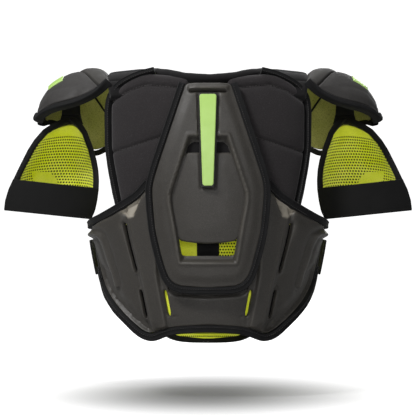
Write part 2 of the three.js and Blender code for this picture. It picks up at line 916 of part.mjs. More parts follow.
// The elastic strap behind the upper arm, from the guard's inner edge to its outer edge.
function armStrapGeometry([start, end], [low, high], [inner, outer], cells) {
  const box = new THREE.BoxGeometry(1, 1, 1, cells, 1, 1);
  const { bottomZ, slope, height, edgeGap, clearance, bulge } = ARM_STRAP;
  return mapVertices(box, (p) => {
    const t = THREE.MathUtils.lerp(start, end, p.x + 0.5);
    const z = bottomZ + slope * t + height * THREE.MathUtils.lerp(low, high, p.y + 0.5);
    const left = interpolate(guardInnerEdge, z) + edgeGap;
    const right = interpolate(guardOuterEdge, z) - edgeGap;
    const y = GUARD_EDGE_Y - clearance - bulge * (1 - t * t);
    const out = THREE.MathUtils.lerp(inner, outer, p.z + 0.5);
    return new THREE.Vector3(THREE.MathUtils.lerp(left, right, (t + 1) / 2), y - out, z);
  });
}

function armStraps() {
  const { thickness } = ARM_STRAP;
  const strap = armStrapGeometry([-1, 1], [0, 1], [0, thickness], 8);
  const pull = armStrapGeometry([-0.96, -0.6], [0.15, 0.85], [-2.8, -1], 2);
  return [...pair("arm_strap", strap, "webbing"), ...pair("arm_strap_hook", pull, "fabric")];
}

// ---- The assembly ----

const shoulderPads = new THREE.Group();
shoulderPads.add(
  backLiner(),
  ...upperPads(),
  ...armholeBindings(),
  lowerShell(),
  ...wingFoam(),
  ...wingBands(),
  backHemBinding(),
  spineStrap(),
  collar(),
  ...shoulderBridges(),
  spineFrame(),
  spineBinding(),
  spineInsert(),
  spineTongue(),
  spineTab(),
  frontLiner(),
  chestPad(),
  bellyPad(),
  ...chestPlates(),
  sternumPlate(),
  ...frontBindings(),
  ...loopPatches(),
  ...sideStraps(),
  ...caps(),
  ...guards(),
  ...hangers(),
  ...armStraps(),
);

export default shoulderPads;
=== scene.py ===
"""Hockey shoulder pads, seen from behind in a plain pale studio.

The pads are drawn in millimetres on three charts: the wearer's torso, the shoulder cap and the arm guard.
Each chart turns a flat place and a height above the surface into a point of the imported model's frame.
A relief adds heights to a piece's outer face, each shaped by slopes and bells, all in millimetres.
Where a piece has a left and a right, the right one is built and the left is its mirror image.
"""
import math

import bpy
import numpy as np
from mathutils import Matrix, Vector, geometry


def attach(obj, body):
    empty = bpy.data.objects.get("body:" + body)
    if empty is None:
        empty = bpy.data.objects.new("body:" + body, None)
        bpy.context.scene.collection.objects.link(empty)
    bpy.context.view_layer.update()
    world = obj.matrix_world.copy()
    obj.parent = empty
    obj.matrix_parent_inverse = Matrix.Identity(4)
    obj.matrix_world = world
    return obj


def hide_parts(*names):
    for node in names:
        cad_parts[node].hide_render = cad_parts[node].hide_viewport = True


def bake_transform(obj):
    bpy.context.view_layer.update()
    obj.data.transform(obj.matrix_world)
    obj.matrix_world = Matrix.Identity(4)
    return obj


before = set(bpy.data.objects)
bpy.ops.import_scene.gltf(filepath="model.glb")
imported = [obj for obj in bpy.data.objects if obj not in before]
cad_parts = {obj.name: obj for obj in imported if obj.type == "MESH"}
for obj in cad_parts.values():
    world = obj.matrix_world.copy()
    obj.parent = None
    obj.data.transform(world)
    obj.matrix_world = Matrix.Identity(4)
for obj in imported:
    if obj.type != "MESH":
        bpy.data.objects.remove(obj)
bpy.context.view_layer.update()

MM = 0.001
RIGHT, LEFT = 1, -1

# ---- The torso that the pads wrap round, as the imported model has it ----

FLAT_RADIUS = 280.0
SIDE_RADIUS = 80.0
TORSO_HALF_WIDTH = 149.0
HALF_GAP = 12.0
FRONT_SHIFT = 10.0
WAIST_Z = 175.0
WAIST_TAPER = 0.26
CHEST_Z = 220.0
SHOULDER_RISE = 240.0
BELLY_TAPER = 0.1
DRAWN_AT = 19.0
SPINE_DRAWN_AT = 33.0
SIDE_MARGIN = 4.0
SIDE_STRETCH = 2.5
UNWRAP_ROUNDS = 80
NORMAL_STEP = 0.5

TURN = math.asin((TORSO_HALF_WIDTH - SIDE_RADIUS) / (FLAT_RADIUS - SIDE_RADIUS))
FLAT_ARC = FLAT_RADIUS * TURN
FLAT_DROP = (FLAT_RADIUS - SIDE_RADIUS) * math.cos(TURN)


def smoothstep(t):
    t = np.clip(t, 0.0, 1.0)
    return t * t * (3 - 2 * t)


def bell(x, width, power=2):
    """1 where x is 0, falling to 0 at about the width."""
    return np.exp(-((x / width) ** power))


def width_scale(z):
    below = np.clip((WAIST_Z - z) / WAIST_Z, 0.0, None)
    return 1 - WAIST_TAPER * below**1.3


def depth_scale(z):
    below = np.clip((CHEST_Z - z) / CHEST_Z, 0.0, None)
    above = np.clip((z - CHEST_Z) / SHOULDER_RISE, 0.0, 0.97)
    return np.sqrt(1 - above**2) - BELLY_TAPER * below**2


def torso(s, z):
    """Points of the wearer's back at arc length s from the spine and height z."""
    arc = np.abs(s)
    on_flat = arc < FLAT_ARC
    angle = np.where(on_flat, arc / FLAT_RADIUS, TURN + (arc - FLAT_ARC) / SIDE_RADIUS)
    radius = np.where(on_flat, FLAT_RADIUS, SIDE_RADIUS)
    across = radius * np.sin(angle) + np.where(on_flat, 0.0, TORSO_HALF_WIDTH - SIDE_RADIUS)
    depth = radius * np.cos(angle) - np.where(on_flat, FLAT_DROP, 0.0)
    return np.stack([np.sign(s) * across * width_scale(z), -HALF_GAP - depth * depth_scale(z), z], -1)


def raised(surface, a, b, out, step):
    """Points of a surface function raised along its normal."""
    along = surface(a + step, b) - surface(a - step, b)
    up = surface(a, b + step) - surface(a, b - step)
    normal = np.cross(along, up)
    normal /= np.linalg.norm(normal, axis=-1, keepdims=True)
    return surface(a, b) + normal * np.asarray(out)[..., None]


def back(s, z, out):
    return raised(torso, s, z, out, NORMAL_STEP)


def front(s, z, out):
    """The front half is the back half's mirror image, moved forwards."""
    p = back(s, z, out)
    p[..., 1] = FRONT_SHIFT - p[..., 1]
    return p


def unwrap(points, drawn_at):
    """Pattern places of points drawn as seen from behind.

    What is drawn past the outline goes on round the side.
    """
    x, z = np.array(points, float).T
    limit = TORSO_HALF_WIDTH * width_scale(z) + drawn_at - SIDE_MARGIN
    past = np.clip(np.abs(x) - limit, 0, None)
    x = np.clip(x, -limit, limit)
    s, height = x.copy(), z.copy()
    for _ in range(UNWRAP_ROUNDS):
        p = back(s, height, np.full_like(s, drawn_at))
        s += x - p[:, 0]
        height += z - p[:, 2]
    return np.stack([s + np.sign(s) * SIDE_STRETCH * past, height], -1)


# ---- Lines and outlines ----


def run_along(points):
    """Each point's distance along its line."""
    return np.r_[0, np.cumsum(np.linalg.norm(np.diff(points, axis=0), axis=1))]


def read_line(points, run, at):
    """Places on a line, read where its run reaches the given values."""
    return np.stack([np.interp(at, run, points[:, k]) for k in range(points.shape[1])], -1)


def soften(points, rounds=2, cut=5.0):
    """Cuts a closed outline's corners, so that each becomes a short curve."""
    points = np.array(points, float)
    for number in range(rounds):
        ahead = np.roll(points, -1, 0) - points
        length = np.linalg.norm(ahead, axis=1, keepdims=True)
        share = np.minimum(0.3, cut / 3**number / np.maximum(length, 1e-9))
        points = np.stack([points + ahead * share, points + ahead * (1 - share)], 1).reshape(-1, 2)
    return points


def spaced(loop, step):
    """Places at an even spacing round a closed line."""
    points = np.vstack([loop, loop[:1]])
    run = run_along(points)
    count = max(4, int(round(run[-1] / step)))
    return read_line(points, run, np.linspace(0, run[-1], count + 1)[:-1])


def curve_through(points, count):
    """Evenly spaced places along a centripetal curve through the given points."""
    fine = spline(points, np.linspace(0, 1, 24 * len(points)))
    run = run_along(fine)
    return read_line(fine, run, np.linspace(0, run[-1], count))


def mirrored(half):
    """A closed outline from its right half."""
    return [*half, *[(-x, z) for x, z in reversed(half) if x > 0]]


def spanned(half):
    """An open line from left to right, from its right half."""
    return [*[(-x, z) for x, z in reversed(half) if x > 0], *half]


def folded(seen):
    """Places with the left side folded on to the right."""
    return np.stack([np.abs(seen[:, 0]), seen[:, 1]], -1)


def line_distance(p, line, closed=False):
    """Each point's distance to a line."""
    line = np.array(line, float)
    a = line if closed else line[:-1]
    b = np.roll(line, -1, 0) if closed else line[1:]
    best = np.full(len(p), 1e9)
    for start, end in zip(a, b):
        d = end - start
        t = np.clip(((p - start) @ d) / max(d @ d, 1e-12), 0, 1)
        best = np.minimum(best, np.linalg.norm(p - start - t[:, None] * d, axis=1))
    return best


def inside(p, polygon):
    polygon = np.array(polygon, float)
    x, z = p[:, 0], p[:, 1]
    odd = np.zeros(len(p), bool)
    for (x0, z0), (x1, z1) in zip(polygon, np.roll(polygon, -1, 0)):
        crosses = (z0 > z) != (z1 > z)
        at = x0 + (z - z0) * (x1 - x0) / (z1 - z0 if z1 != z0 else 1e-12)
        odd ^= crosses & (x < at)
    return odd


def within(p, loops):
    """Whether points are inside the first loop and outside the others."""
    keep = inside(p, loops[0])
    for hole in loops[1:]:
        keep &= ~inside(p, hole)
    return keep


def edge_distance(p, loops):
    """Each point's distance to the nearest of some closed loops."""
    return np.min([line_distance(p, loop, closed=True) for loop in loops], axis=0)


def plateau(p, polygon, bevel):
    """1 well inside a polygon, 0 outside it, with a soft slope inside its edge."""
    depth = np.where(inside(p, polygon), line_distance(p, polygon, closed=True), 0)
    return smoothstep(depth / bevel)


def groove(p, line, width):
    """1 on a line, falling to 0 at about its width."""
    return bell(line_distance(p, line), width)


# ---- Meshes ----

SURFACE_STEP, PLAIN_STEP = 0.002, 0.01
SHARP_DEGREES, TAPE_SHARP_DEGREES, STITCH_SHARP_DEGREES = 40.0, 50.0, 80.0
ROW_SHARE, RING_SHARE, CLEAR_SHARE = 0.866, 0.97, 0.6
EDGE_SHARE = 0.35
EDGE_RINGS = (0.12, 0.4, 0.75, 1.1)
NARROW_EDGE = 1.5
THINNEST = 0.4
TAPE_STEP, TAPE_POINTS, TAPE_THINNEST = 3.0, 32, 0.5
TAPE_ROUND_OFF, TAPE_EDGE_SHARE = 2.2, 0.55
BEAD_STEP, BEAD_SEAM, BEAD_LIFT = 1.1, 0.9, 0.2
PUCKER = 0.2
STITCH_HEIGHT = 0.5
STITCH_RING = [(-1, 0), (-0.7, 0.8), (0.7, 0.8), (1, 0), (0.7, -0.8), (-0.7, -0.8)]
STITCH_SPANS = [(-0.5, 0.35), (-0.3, 1.0), (0.3, 1.0), (0.5, 0.35)]
# Stitches: length, pitch and width.
PAD_STITCH, TAPE_STITCH = (2.8, 4.4, 0.9), (2.2, 3.4, 0.6)


def new_object(name, vertices, faces, uvs=None, sharp_degrees=SHARP_DEGREES, mask=None):
    """An object from millimetre vertices, smooth but for its sharp edges."""
    mesh = bpy.data.meshes.new(name)
    mesh.from_pydata((np.asarray(vertices) * MM).tolist(), [], faces)
    mesh.update()
    if uvs is not None:
        layer = mesh.uv_layers.new(name="UVMap")
        loops = np.zeros(len(mesh.loops), np.int32)
        mesh.loops.foreach_get("vertex_index", loops)
        layer.data.foreach_set("uv", (np.asarray(uvs, np.float32) * MM)[loops].ravel())
    if mask is not None:
        attribute = mesh.attributes.new("mask", "FLOAT", "POINT")
        attribute.data.foreach_set("value", np.asarray(mask, np.float32))
    mesh.polygons.foreach_set("use_smooth", np.ones(len(mesh.polygons), bool))
    mesh.set_sharp_from_angle(angle=math.radians(sharp_degrees))
    piece = bpy.data.objects.new(name, mesh)
    bpy.context.scene.collection.objects.link(piece)
    return piece


def fill_outline(loops, step, rings):
    """A fine triangulation inside an outline and outside its holes, with rows of points along the edges."""
    edge = [spaced(loop, step) for loop in loops]
    low, high = edge[0].min(0), edge[0].max(0)
    columns = np.arange(low[0], high[0], step)
    rows = np.arange(low[1], high[1], step * ROW_SHARE)
    grid = np.array([(x + (j % 2) * step / 2, z) for j, z in enumerate(rows) for x in columns])
    grid = grid[within(grid, edge)]
    grid = grid[edge_distance(grid, edge) > rings[-1] + CLEAR_SHARE * step]
    inner = []
    for distance in rings:
        for loop in edge:
            ahead = np.roll(loop, -1, 0) - np.roll(loop, 1, 0)
            normal = np.stack([-ahead[:, 1], ahead[:, 0]], -1)
            normal /= np.linalg.norm(normal, axis=1, keepdims=True)
            for moved in (loop + normal * distance, loop - normal * distance):
                clear = edge_distance(moved, edge) > distance * RING_SHARE
                inner.append(moved[within(moved, edge) & clear])
    links, start = [], 0
    for loop in edge:
        n = len(loop)
        links += [(start + i, start + (i + 1) % n) for i in range(n)]
        start += n
    points = [Vector(p) for p in np.vstack([*edge, *inner, grid])]
    found = geometry.delaunay_2d_cdt(points, links, [], 0, 1e-5)
    flat = np.array([tuple(v) for v in found[0]])
    triangles = np.array([f for f in found[2] if len(f) == 3])
    return flat, triangles[within(flat[triangles].mean(1), edge)], edge


def rounded(gap, edge):
    """How full a sheet is at a distance from its edge: it swells from its edge share to 1."""
    return EDGE_SHARE + (1 - EDGE_SHARE) * np.sqrt(1 - (1 - np.clip(gap / edge, 0, 1)) ** 2)


def thick_mesh(flat, triangles, low, high):
    """Joins a lower and an upper set of vertices over one flat triangulation into a closed body."""
    n = len(flat)
    a, b, c = flat[triangles[:, 0]], flat[triangles[:, 1]], flat[triangles[:, 2]]
    ab, ac = b - a, c - a
    turned = ab[:, 0] * ac[:, 1] - ab[:, 1] * ac[:, 0] < 0
    triangles = triangles.copy()
    triangles[turned] = triangles[turned][:, ::-1]
    sides = {(tri[i], tri[(i + 1) % 3]): None for tri in triangles.tolist() for i in range(3)}
    rim = [(i, j) for i, j in sides if (j, i) not in sides]
    faces = triangles.tolist() + (triangles[:, ::-1] + n).tolist()
    faces += [[j, i, i + n, j + n] for i, j in rim]
    return np.vstack([high, low]), faces


def panel(name, outline, layer, chart=back, holes=(), step=2.4, edge=3.0, drawn_at=DRAWN_AT,
          relief=None, soft=2, attribute=None):
    """A padded or moulded sheet with rounded edges and a relief, on the torso."""
    low, high = layer
    loops = [unwrap(soften(outline, soft), drawn_at)]
    loops += [unwrap(soften(hole, 1), drawn_at) for hole in holes]
    rings = [edge * share for share in EDGE_RINGS] if edge > NARROW_EDGE else [edge]
    flat, triangles, loops = fill_outline(loops, step, rings)
    gap = edge_distance(flat, loops)
    s, z = flat.T
    seen = back(s, z, np.full_like(s, drawn_at))[:, [0, 2]]
    top = low + (high - low) * rounded(gap, edge)
    if relief is not None:
        top = top + relief(seen, gap)
    top = np.maximum(top, low + THINNEST)
    vertices, faces = thick_mesh(flat, triangles, chart(s, z, np.full_like(s, low)), chart(s, z, top))
    if chart is front:
        faces = [f[::-1] for f in faces]
    mask = np.tile(attribute(seen), 2) if attribute else None
    return new_object(name, vertices, faces, np.vstack([flat, flat]), mask=mask)


def frames_along(points, normals):
    """The directions ahead, sideways and up at each place on a line."""
    ahead = np.gradient(points, axis=0)
    ahead /= np.linalg.norm(ahead, axis=1, keepdims=True)
    side = np.cross(normals, ahead)
    side /= np.linalg.norm(side, axis=1, keepdims=True)
    return ahead, side, np.cross(ahead, side)


def tube_faces(rows, around):
    """The faces of a closed tube: a band between each two rows of vertices, and a cap at each end."""
    faces = []
    for i in range(0, (rows - 1) * around, around):
        for j in range(around):
            k = (j + 1) % around
            faces.append([i + j, i + k, i + around + k, i + around + j])
    faces.append(list(range(around))[::-1])
    faces.append([(rows - 1) * around + j for j in range(around)])
    return faces


def swept(name, points, normals, profile, ripple):
    """A closed section, as [across, up] points, carried along a line of points with normals."""
    _, side, up = frames_along(points, normals)
    profile = np.array(profile, float)
    rows = []
    for i in range(len(points)):
        section = ripple(profile.copy(), i / (len(points) - 1))
        rows.append(points[i] + section[:, :1] * side[i] + section[:, 1:] * up[i])
    uvs = np.array([(along, around) for along in run_along(points) for around in run_along(profile)])
    faces = tube_faces(len(points), len(profile))
    piece = new_object(name, np.vstack(rows), faces, uvs, TAPE_SHARP_DEGREES)
    face_outwards(piece)
    return piece


def face_outwards(piece):
    """Turns the faces round if the closed body is inside out."""
    mesh = piece.data
    mesh.calc_loop_triangles()
    co = np.array([v.co for v in mesh.vertices])
    a, b, c = co[np.array([t.vertices for t in mesh.loop_triangles])].transpose(1, 0, 2)
    if np.einsum("ij,ij->i", a, np.cross(b, c)).sum() < 0:
        mesh.flip_normals()


def mirror_copy(piece, name):
    """The left-hand mirror image of a right-hand piece."""
    mesh = piece.data.copy()
    mesh.name = name
    co = np.zeros(len(mesh.vertices) * 3, np.float32)
    mesh.vertices.foreach_get("co", co)
    co[::3] *= -1
    mesh.vertices.foreach_set("co", co)
    mesh.flip_normals()
    twin = bpy.data.objects.new(name, mesh)
    bpy.context.scene.collection.objects.link(twin)
    return twin


def tape_profile(width, low, high, bead=0):
    """A tape section: flat below and rounded on top, with a raised bead along one edge or neither."""
    half = width / 2
    round_off = min(TAPE_ROUND_OFF, half * 0.5)
    points = []
    for k in range(TAPE_POINTS + 1):
        x = half * math.cos(math.pi * k / TAPE_POINTS)
        edge = min(1.0, (half - abs(x)) / round_off)
        full = TAPE_EDGE_SHARE + (1 - TAPE_EDGE_SHARE) * math.sqrt(1 - (1 - edge) ** 2)
        top = low + (high - low) * full
        if bead:
            side = x * bead / half
            top += BEAD_LIFT - BEAD_STEP * float(smoothstep((0.42 - side) / 0.3))
            top -= BEAD_SEAM * bell(side - 0.4, 0.09)
        points.append((x, max(top, low + TAPE_THINNEST)))
    return [(half, low), *points, (-half, low)]


def puckered(low, high, count):
    """A ripple that lets a tape's top rise and fall a little along its length."""

    def ripple(section, t):
        lift = 0.7 * math.sin(t * count * 0.55) + 0.3 * math.sin(t * count * 1.31 + 1)
        section[:, 1] += np.where(section[:, 1] > (low + high) / 2, PUCKER * lift, 0)
        return section

    return ripple


def torso_tape(name, line, width, layer, chart=back, drawn_at=DRAWN_AT, bead=0, lifts=None):
    """A binding tape along a line drawn on the torso, lifted at each of its points where lifts are given."""
    low, high = layer
    flat = unwrap(line, drawn_at)
    run = run_along(flat)
    count = int(run[-1] / TAPE_STEP) + 2
    s, z = curve_through(flat, count).T
    lift = np.interp(np.linspace(0, run[-1], count), run, lifts or np.zeros(len(run)))
    base = chart(s, z, lift)
    normals = chart(s, z, lift + 1) - base
    return swept(name, base, normals, tape_profile(width, low, high, bead), puckered(low, high, count))


def stitches(name, points, normals, length, pitch, width):
    """A row of thread stitches along a line, each a small closed bar."""
    run = run_along(points)
    at = np.arange(pitch, run[-1] - pitch, pitch)
    places = read_line(points, run, at)
    ahead, side, up = frames_along(places, read_line(normals, run, at))
    vertices, faces = [], []
    for p, a, s, u in zip(places, ahead, side, up):
        start = len(vertices)
        for along, size in STITCH_SPANS:
            for x, y in STITCH_RING:
                offset = s * x * size * width / 2 + u * y * size * STITCH_HEIGHT
                vertices.append(p + a * along * length + offset)
        for face in tube_faces(len(STITCH_SPANS), len(STITCH_RING)):
            faces.append([start + i for i in face])
    piece = new_object(name, vertices, faces, None, STITCH_SHARP_DEGREES)
    face_outwards(piece)
    return piece


# ---- Surfaces of the caps and the arm guards ----


def spline(points, t):
    """Places at t, from 0 to 1, on a centripetal curve through the points."""
    p = np.array(points, float)
    p = np.vstack([2 * p[0] - p[1], p, 2 * p[-1] - p[-2]])
    gap = np.sqrt(np.linalg.norm(np.diff(p, axis=0), axis=1))
    at = np.clip(t, 0, 1) * (len(points) - 1)
    i = np.minimum(at.astype(int), len(points) - 2)
    u = (at - i)[..., None]
    x0, x1, x2, x3 = p[i], p[i + 1], p[i + 2], p[i + 3]
    d0, d1, d2 = (gap[i + k][..., None] for k in range(3))
    m1 = ((x1 - x0) / d0 - (x2 - x0) / (d0 + d1) + (x2 - x1) / d1) * d1
    m2 = ((x2 - x1) / d1 - (x3 - x1) / (d1 + d2) + (x3 - x2) / d2) * d1
    near = (2 * u**3 - 3 * u**2 + 1) * x1 + (u**3 - 2 * u**2 + u) * m1
    return near + (3 * u**2 - 2 * u**3) * x2 + (u**3 - u**2) * m2


CAP_TOP = [(142, 397), (158, 404.3), (174, 404.8), (190, 400.8), (208, 393.5), (229, 379), (243, 358.5),
           (250, 338)]
CAP_REAR = [(144, 386), (160, 370), (180, 358.5), (203, 351.5), (220, 347.5), (237, 341), (250, 331.5)]
CAP_FRONT = [(147, 294), (168, 285), (190, 295), (208, 313), (224, 326), (238, 330), (250, 328)]
CAP_HALF_DEPTH, CAP_TIP_DEPTH = 74.0, 32.0
CAP_REAR_TURN, CAP_FRONT_TURN = math.radians(62), math.radians(80)


def cap(a, b):
    """The right cap's outer surface: a from neck side to tip, b from rear rim to front rim."""
    a = np.clip(a, 0, 1)
    rear = (b < 0)[..., None]
    turn = np.where(b < 0, CAP_REAR_TURN, CAP_FRONT_TURN)
    rim = np.where(rear, spline(CAP_REAR, a), spline(CAP_FRONT, a))
    rise = (np.cos(b * turn) - np.cos(turn)) / (1 - np.cos(turn))
    xz = rim + (spline(CAP_TOP, a) - rim) * rise[..., None]
    depth = CAP_HALF_DEPTH + (CAP_TIP_DEPTH - CAP_HALF_DEPTH) * a**3
    return np.stack([xz[..., 0], depth * np.sin(b * turn) / np.sin(turn), xz[..., 1]], -1)


def cap_seam(b):
    """Where the seam between the neck segment and the dome runs."""
    return 0.42 - 0.3 * np.abs(b)


GUARD_INNER = [(190, 168), (200, 164), (214, 161), (229, 159), (243, 158.5), (258, 159.5), (272, 162),
               (290, 167), (312, 175), (334, 189)]
GUARD_OUTER = [(190, 292), (202, 293.5), (214, 292), (229, 287.5), (243, 281), (258, 274), (272, 267),
               (287, 259.5), (301, 250.5), (316, 237.5), (334, 211)]
GUARD_EDGE_Y = -8.0
GUARD_FOOT, GUARD_FOOT_SLOPE = 196, 5
GUARD_HEAD, GUARD_HEAD_FALL = 332, 8
GUARD_DEPTH, GUARD_DEPTH_FALL = 50, 26


def read_off(points, z):
    """x at height z on a row of (height, x) points."""
    heights, across = np.array(points, float).T
    return np.interp(z, heights, across)


def guard(t, h):
    """The right guard's outer surface: t from inner to outer edge, h from bottom to top."""
    low, high = GUARD_FOOT + GUARD_FOOT_SLOPE * t, GUARD_HEAD - GUARD_HEAD_FALL * t * t
    z = low + (high - low) * h
    left, right = read_off(GUARD_INNER, z), read_off(GUARD_OUTER, z)
    angle = t * math.pi / 2
    depth = GUARD_DEPTH - GUARD_DEPTH_FALL * h * h
    x = (left + right) / 2 + (right - left) / 2 * np.sin(angle)
    return np.stack([x, GUARD_EDGE_Y + depth * np.cos(angle), z], -1)


def guard_reach(h):
    """How far the guard's sheets reach towards its edges, which the binding wraps."""
    return 1 - 8.3 / (84 - 56 * h * h)


STRAP_BOTTOM, STRAP_TOP, STRAP_REAR_Y, STRAP_STAND_OFF = 107.0, 157.0, -8.0, 22.5
STRAP_TURN = math.radians(42)


def side_strap(along, z):
    """The right side strap: straight past the gap between the halves, then round the front half's side."""
    centre = (TORSO_HALF_WIDTH - SIDE_RADIUS) * width_scale(z)
    radius = SIDE_RADIUS * width_scale(z) + STRAP_STAND_OFF
    front_y = HALF_GAP + FRONT_SHIFT
    straight = front_y - STRAP_REAR_Y
    distance = along * (straight + radius * STRAP_TURN)
    angle = np.clip((distance - straight) / radius, 0, None)
    y = np.where(distance < straight, STRAP_REAR_Y + distance, front_y + radius * np.sin(angle))
    return np.stack([centre + radius * np.cos(angle), y, z], -1)


def arm_strap(t, v):
    """The elastic strap behind the right upper arm."""
    z = 193 + 6.5 * t + 45 * v
    left, right = read_off(GUARD_INNER, z) - 0.6, read_off(GUARD_OUTER, z) + 0.2
    y = GUARD_EDGE_Y - 7 - 14 * (1 - t * t)
    return np.stack([left + (right - left) * (t + 1) / 2, y, z], -1)


def clustered(count):
    """Numbers from 0 to 1 that lie closer together near both ends."""
    t = np.linspace(0, 1, count + 1)
    return t - 0.13 * np.sin(2 * math.pi * t)


def whole(u, v):
    """The chart of a sheet that covers the whole of its surface."""
    return u, v


def sheet(name, surface, layer, chart, cells, edge=3.0, relief=None, step=SURFACE_STEP,
          attribute=None, uv=None):
    """A closed sheet between two heights over a surface, with rounded edges and a relief on its high side."""
    low, high = layer
    u, v = np.meshgrid(clustered(cells[0]), clustered(cells[1]), indexing="ij")
    a, b = chart(u, v)
    base = surface(a, b)
    gaps = []
    for axis in (0, 1):
        steps = np.linalg.norm(np.diff(base, axis=axis), axis=-1)
        run = np.concatenate([np.zeros_like(np.take(steps, [0], axis)), np.cumsum(steps, axis)], axis)
        gaps += [run, np.take(run, [-1], axis) - run]
    gap = np.minimum.reduce(gaps)
    top = low + (high - low) * rounded(gap, edge)
    if relief is not None:
        top = top + math.copysign(1, high - low) * relief(a, b, gap)
    n, m = u.shape
    outer = raised(surface, a, b, top, step).reshape(-1, 3)
    inner = raised(surface, a, b, np.full_like(a, low), step).reshape(-1, 3)
    vertices = np.vstack([outer, inner])
    at = np.arange(n * m).reshape(n, m)
    under = at + n * m
    corners = [at[:-1, :-1], at[1:, :-1], at[1:, 1:], at[:-1, 1:]]
    under_corners = [under[:-1, :-1], under[:-1, 1:], under[1:, 1:], under[1:, :-1]]
    faces = [*np.stack(corners, -1).reshape(-1, 4).tolist()]
    faces += np.stack(under_corners, -1).reshape(-1, 4).tolist()
    rim = [*at[:, 0], *at[-1, 1:], *at[-2::-1, -1], *at[0, -2:0:-1]]
    for i, j in zip(rim, rim[1:] + rim[:1]):
        faces.append([i, i + n * m, j + n * m, j])
    uvs = (uv(a, b, base) if uv else np.stack([gaps[0], gaps[2]], -1)).reshape(-1, 2)
    mask = np.tile(attribute(a, b).ravel(), 2) if attribute else None
    piece = new_object(name, vertices, faces, np.vstack([uvs, uvs]), mask=mask)
    piece.data.validate()
    face_outwards(piece)
    return piece


def surface_tape(name, surface, path, width, layer):
    """A binding tape along a path of surface places."""
    low, high = layer
    run = run_along(surface(*np.array(path, float).T))
    count = int(run[-1] / TAPE_STEP)
    fine = spline(path, np.linspace(0, 1, count * 3))
    run = run_along(surface(*fine.T))
    a, b = read_line(fine, run, np.linspace(0, run[-1], count)).T
    base = surface(a, b)
    normals = raised(surface, a, b, np.ones_like(a), SURFACE_STEP) - base
    return swept(name, base, normals, tape_profile(width, low, high), puckered(low, high, count))


# ---- Materials ----
# Colours are display values of 0 to 255, noise scales are per metre, pitches and depths in millimetres.

HOLE_COLOUR = (14, 15, 6)
HOLE_ROW_PITCH, HOLE_PITCH, HOLE_RADIUS, HOLE_BLUR = 4.2, 3.9, 1.2, 0.12


def shade(colour, times=1.0):
    """A linear colour from display values of 0 to 255."""
    linear = []
    for value in colour:
        v = value * times / 255
        linear.append(v / 12.92 if v <= 0.04045 else ((v + 0.055) / 1.055) ** 2.4)
    return (*linear, 1.0)


class Look:
    """A material's node tree, with short names for the nodes that every look uses."""

    def __init__(self, name, **principled):
        self.material = bpy.data.materials.new(name)
        self.material.use_nodes = True
        self.tree = self.material.node_tree
        self.shader = self.tree.nodes["Principled BSDF"]
        for key, value in principled.items():
            self.shader.inputs[key.replace("_", " ")].default_value = value
        self.place = self.node("ShaderNodeTexCoord").outputs["Object"]
        self.flat = self.node("ShaderNodeUVMap").outputs["UV"]

    def node(self, kind, inputs=(), **settings):
        made = self.tree.nodes.new(kind)
        for key, value in settings.items():
            setattr(made, key, value)
        for key, value in dict(inputs).items():
            self.give(made.inputs[key], value)
        return made

    def give(self, socket, value):
        if isinstance(value, bpy.types.NodeSocket):
            self.tree.links.new(value, socket)
        else:
            socket.default_value = value

    def math(self, operation, a, b=0.0, c=0.0):
        return self.node("ShaderNodeMath", {0: a, 1: b, 2: c}, operation=operation).outputs[0]

    def times(self, a, b):
        return self.math("MULTIPLY", a, b)

    def split(self, vector):
        return self.node("ShaderNodeSeparateXYZ", {0: vector}).outputs

    def noise(self, scale, detail=2.0, rough=0.5):
        inputs = {"Vector": self.place, "Scale": scale, "Detail": detail, "Roughness": rough}
        return self.node("ShaderNodeTexNoise", inputs).outputs["Fac"]

    def cells(self, scale):
        inputs = {"Vector": self.place, "Scale": scale}
        return self.node("ShaderNodeTexVoronoi", inputs, feature="F1").outputs["Distance"]

    def wave(self, value, pitch):
        """A wave from 0 to 1 of a coordinate in metres, with a pitch in millimetres."""
        angle = self.times(value, 2 * math.pi / (pitch * MM))
        return self.math("MULTIPLY_ADD", self.math("SINE", angle), 0.5, 0.5)

    def ramp(self, value, low, high, to_low=0.0, to_high=1.0):
        inputs = {"Value": value, "From Min": low, "From Max": high, "To Min": to_low, "To Max": to_high}
        return self.node("ShaderNodeMapRange", inputs).outputs[0]

    def mix(self, factor, a, b):
        made = self.node("ShaderNodeMix", data_type="RGBA")
        for key, value in (("Factor_Float", factor), ("A_Color", a), ("B_Color", b)):
            self.give(next(s for s in made.inputs if s.identifier == key), value)
        return next(s for s in made.outputs if s.identifier == "Result_Color")

    def bump(self, height, strength, depth_mm, after=None):
        inputs = {"Height": height, "Strength": strength, "Distance": depth_mm * MM}
        if after is not None:
            inputs["Normal"] = after
        return self.node("ShaderNodeBump", inputs).outputs[0]

    def finish(self, colour=None, roughness=None, normal=None):
        for key, value in (("Base Color", colour), ("Roughness", roughness), ("Normal", normal)):
            if value is not None:
                self.give(self.shader.inputs[key], value)
        return self.material


def worn(look, base, pale, amount):
    """A colour that pales on raised edges, as rubbed foam and fabric do."""
    edge = look.node("ShaderNodeNewGeometry").outputs["Pointiness"]
    uneven = look.ramp(look.noise(60.0), 0.35, 0.65, 0.4, 1.0)
    rubbed = look.times(look.ramp(edge, 0.508, 0.56), uneven)
    return look.mix(look.times(rubbed, amount), base, pale)


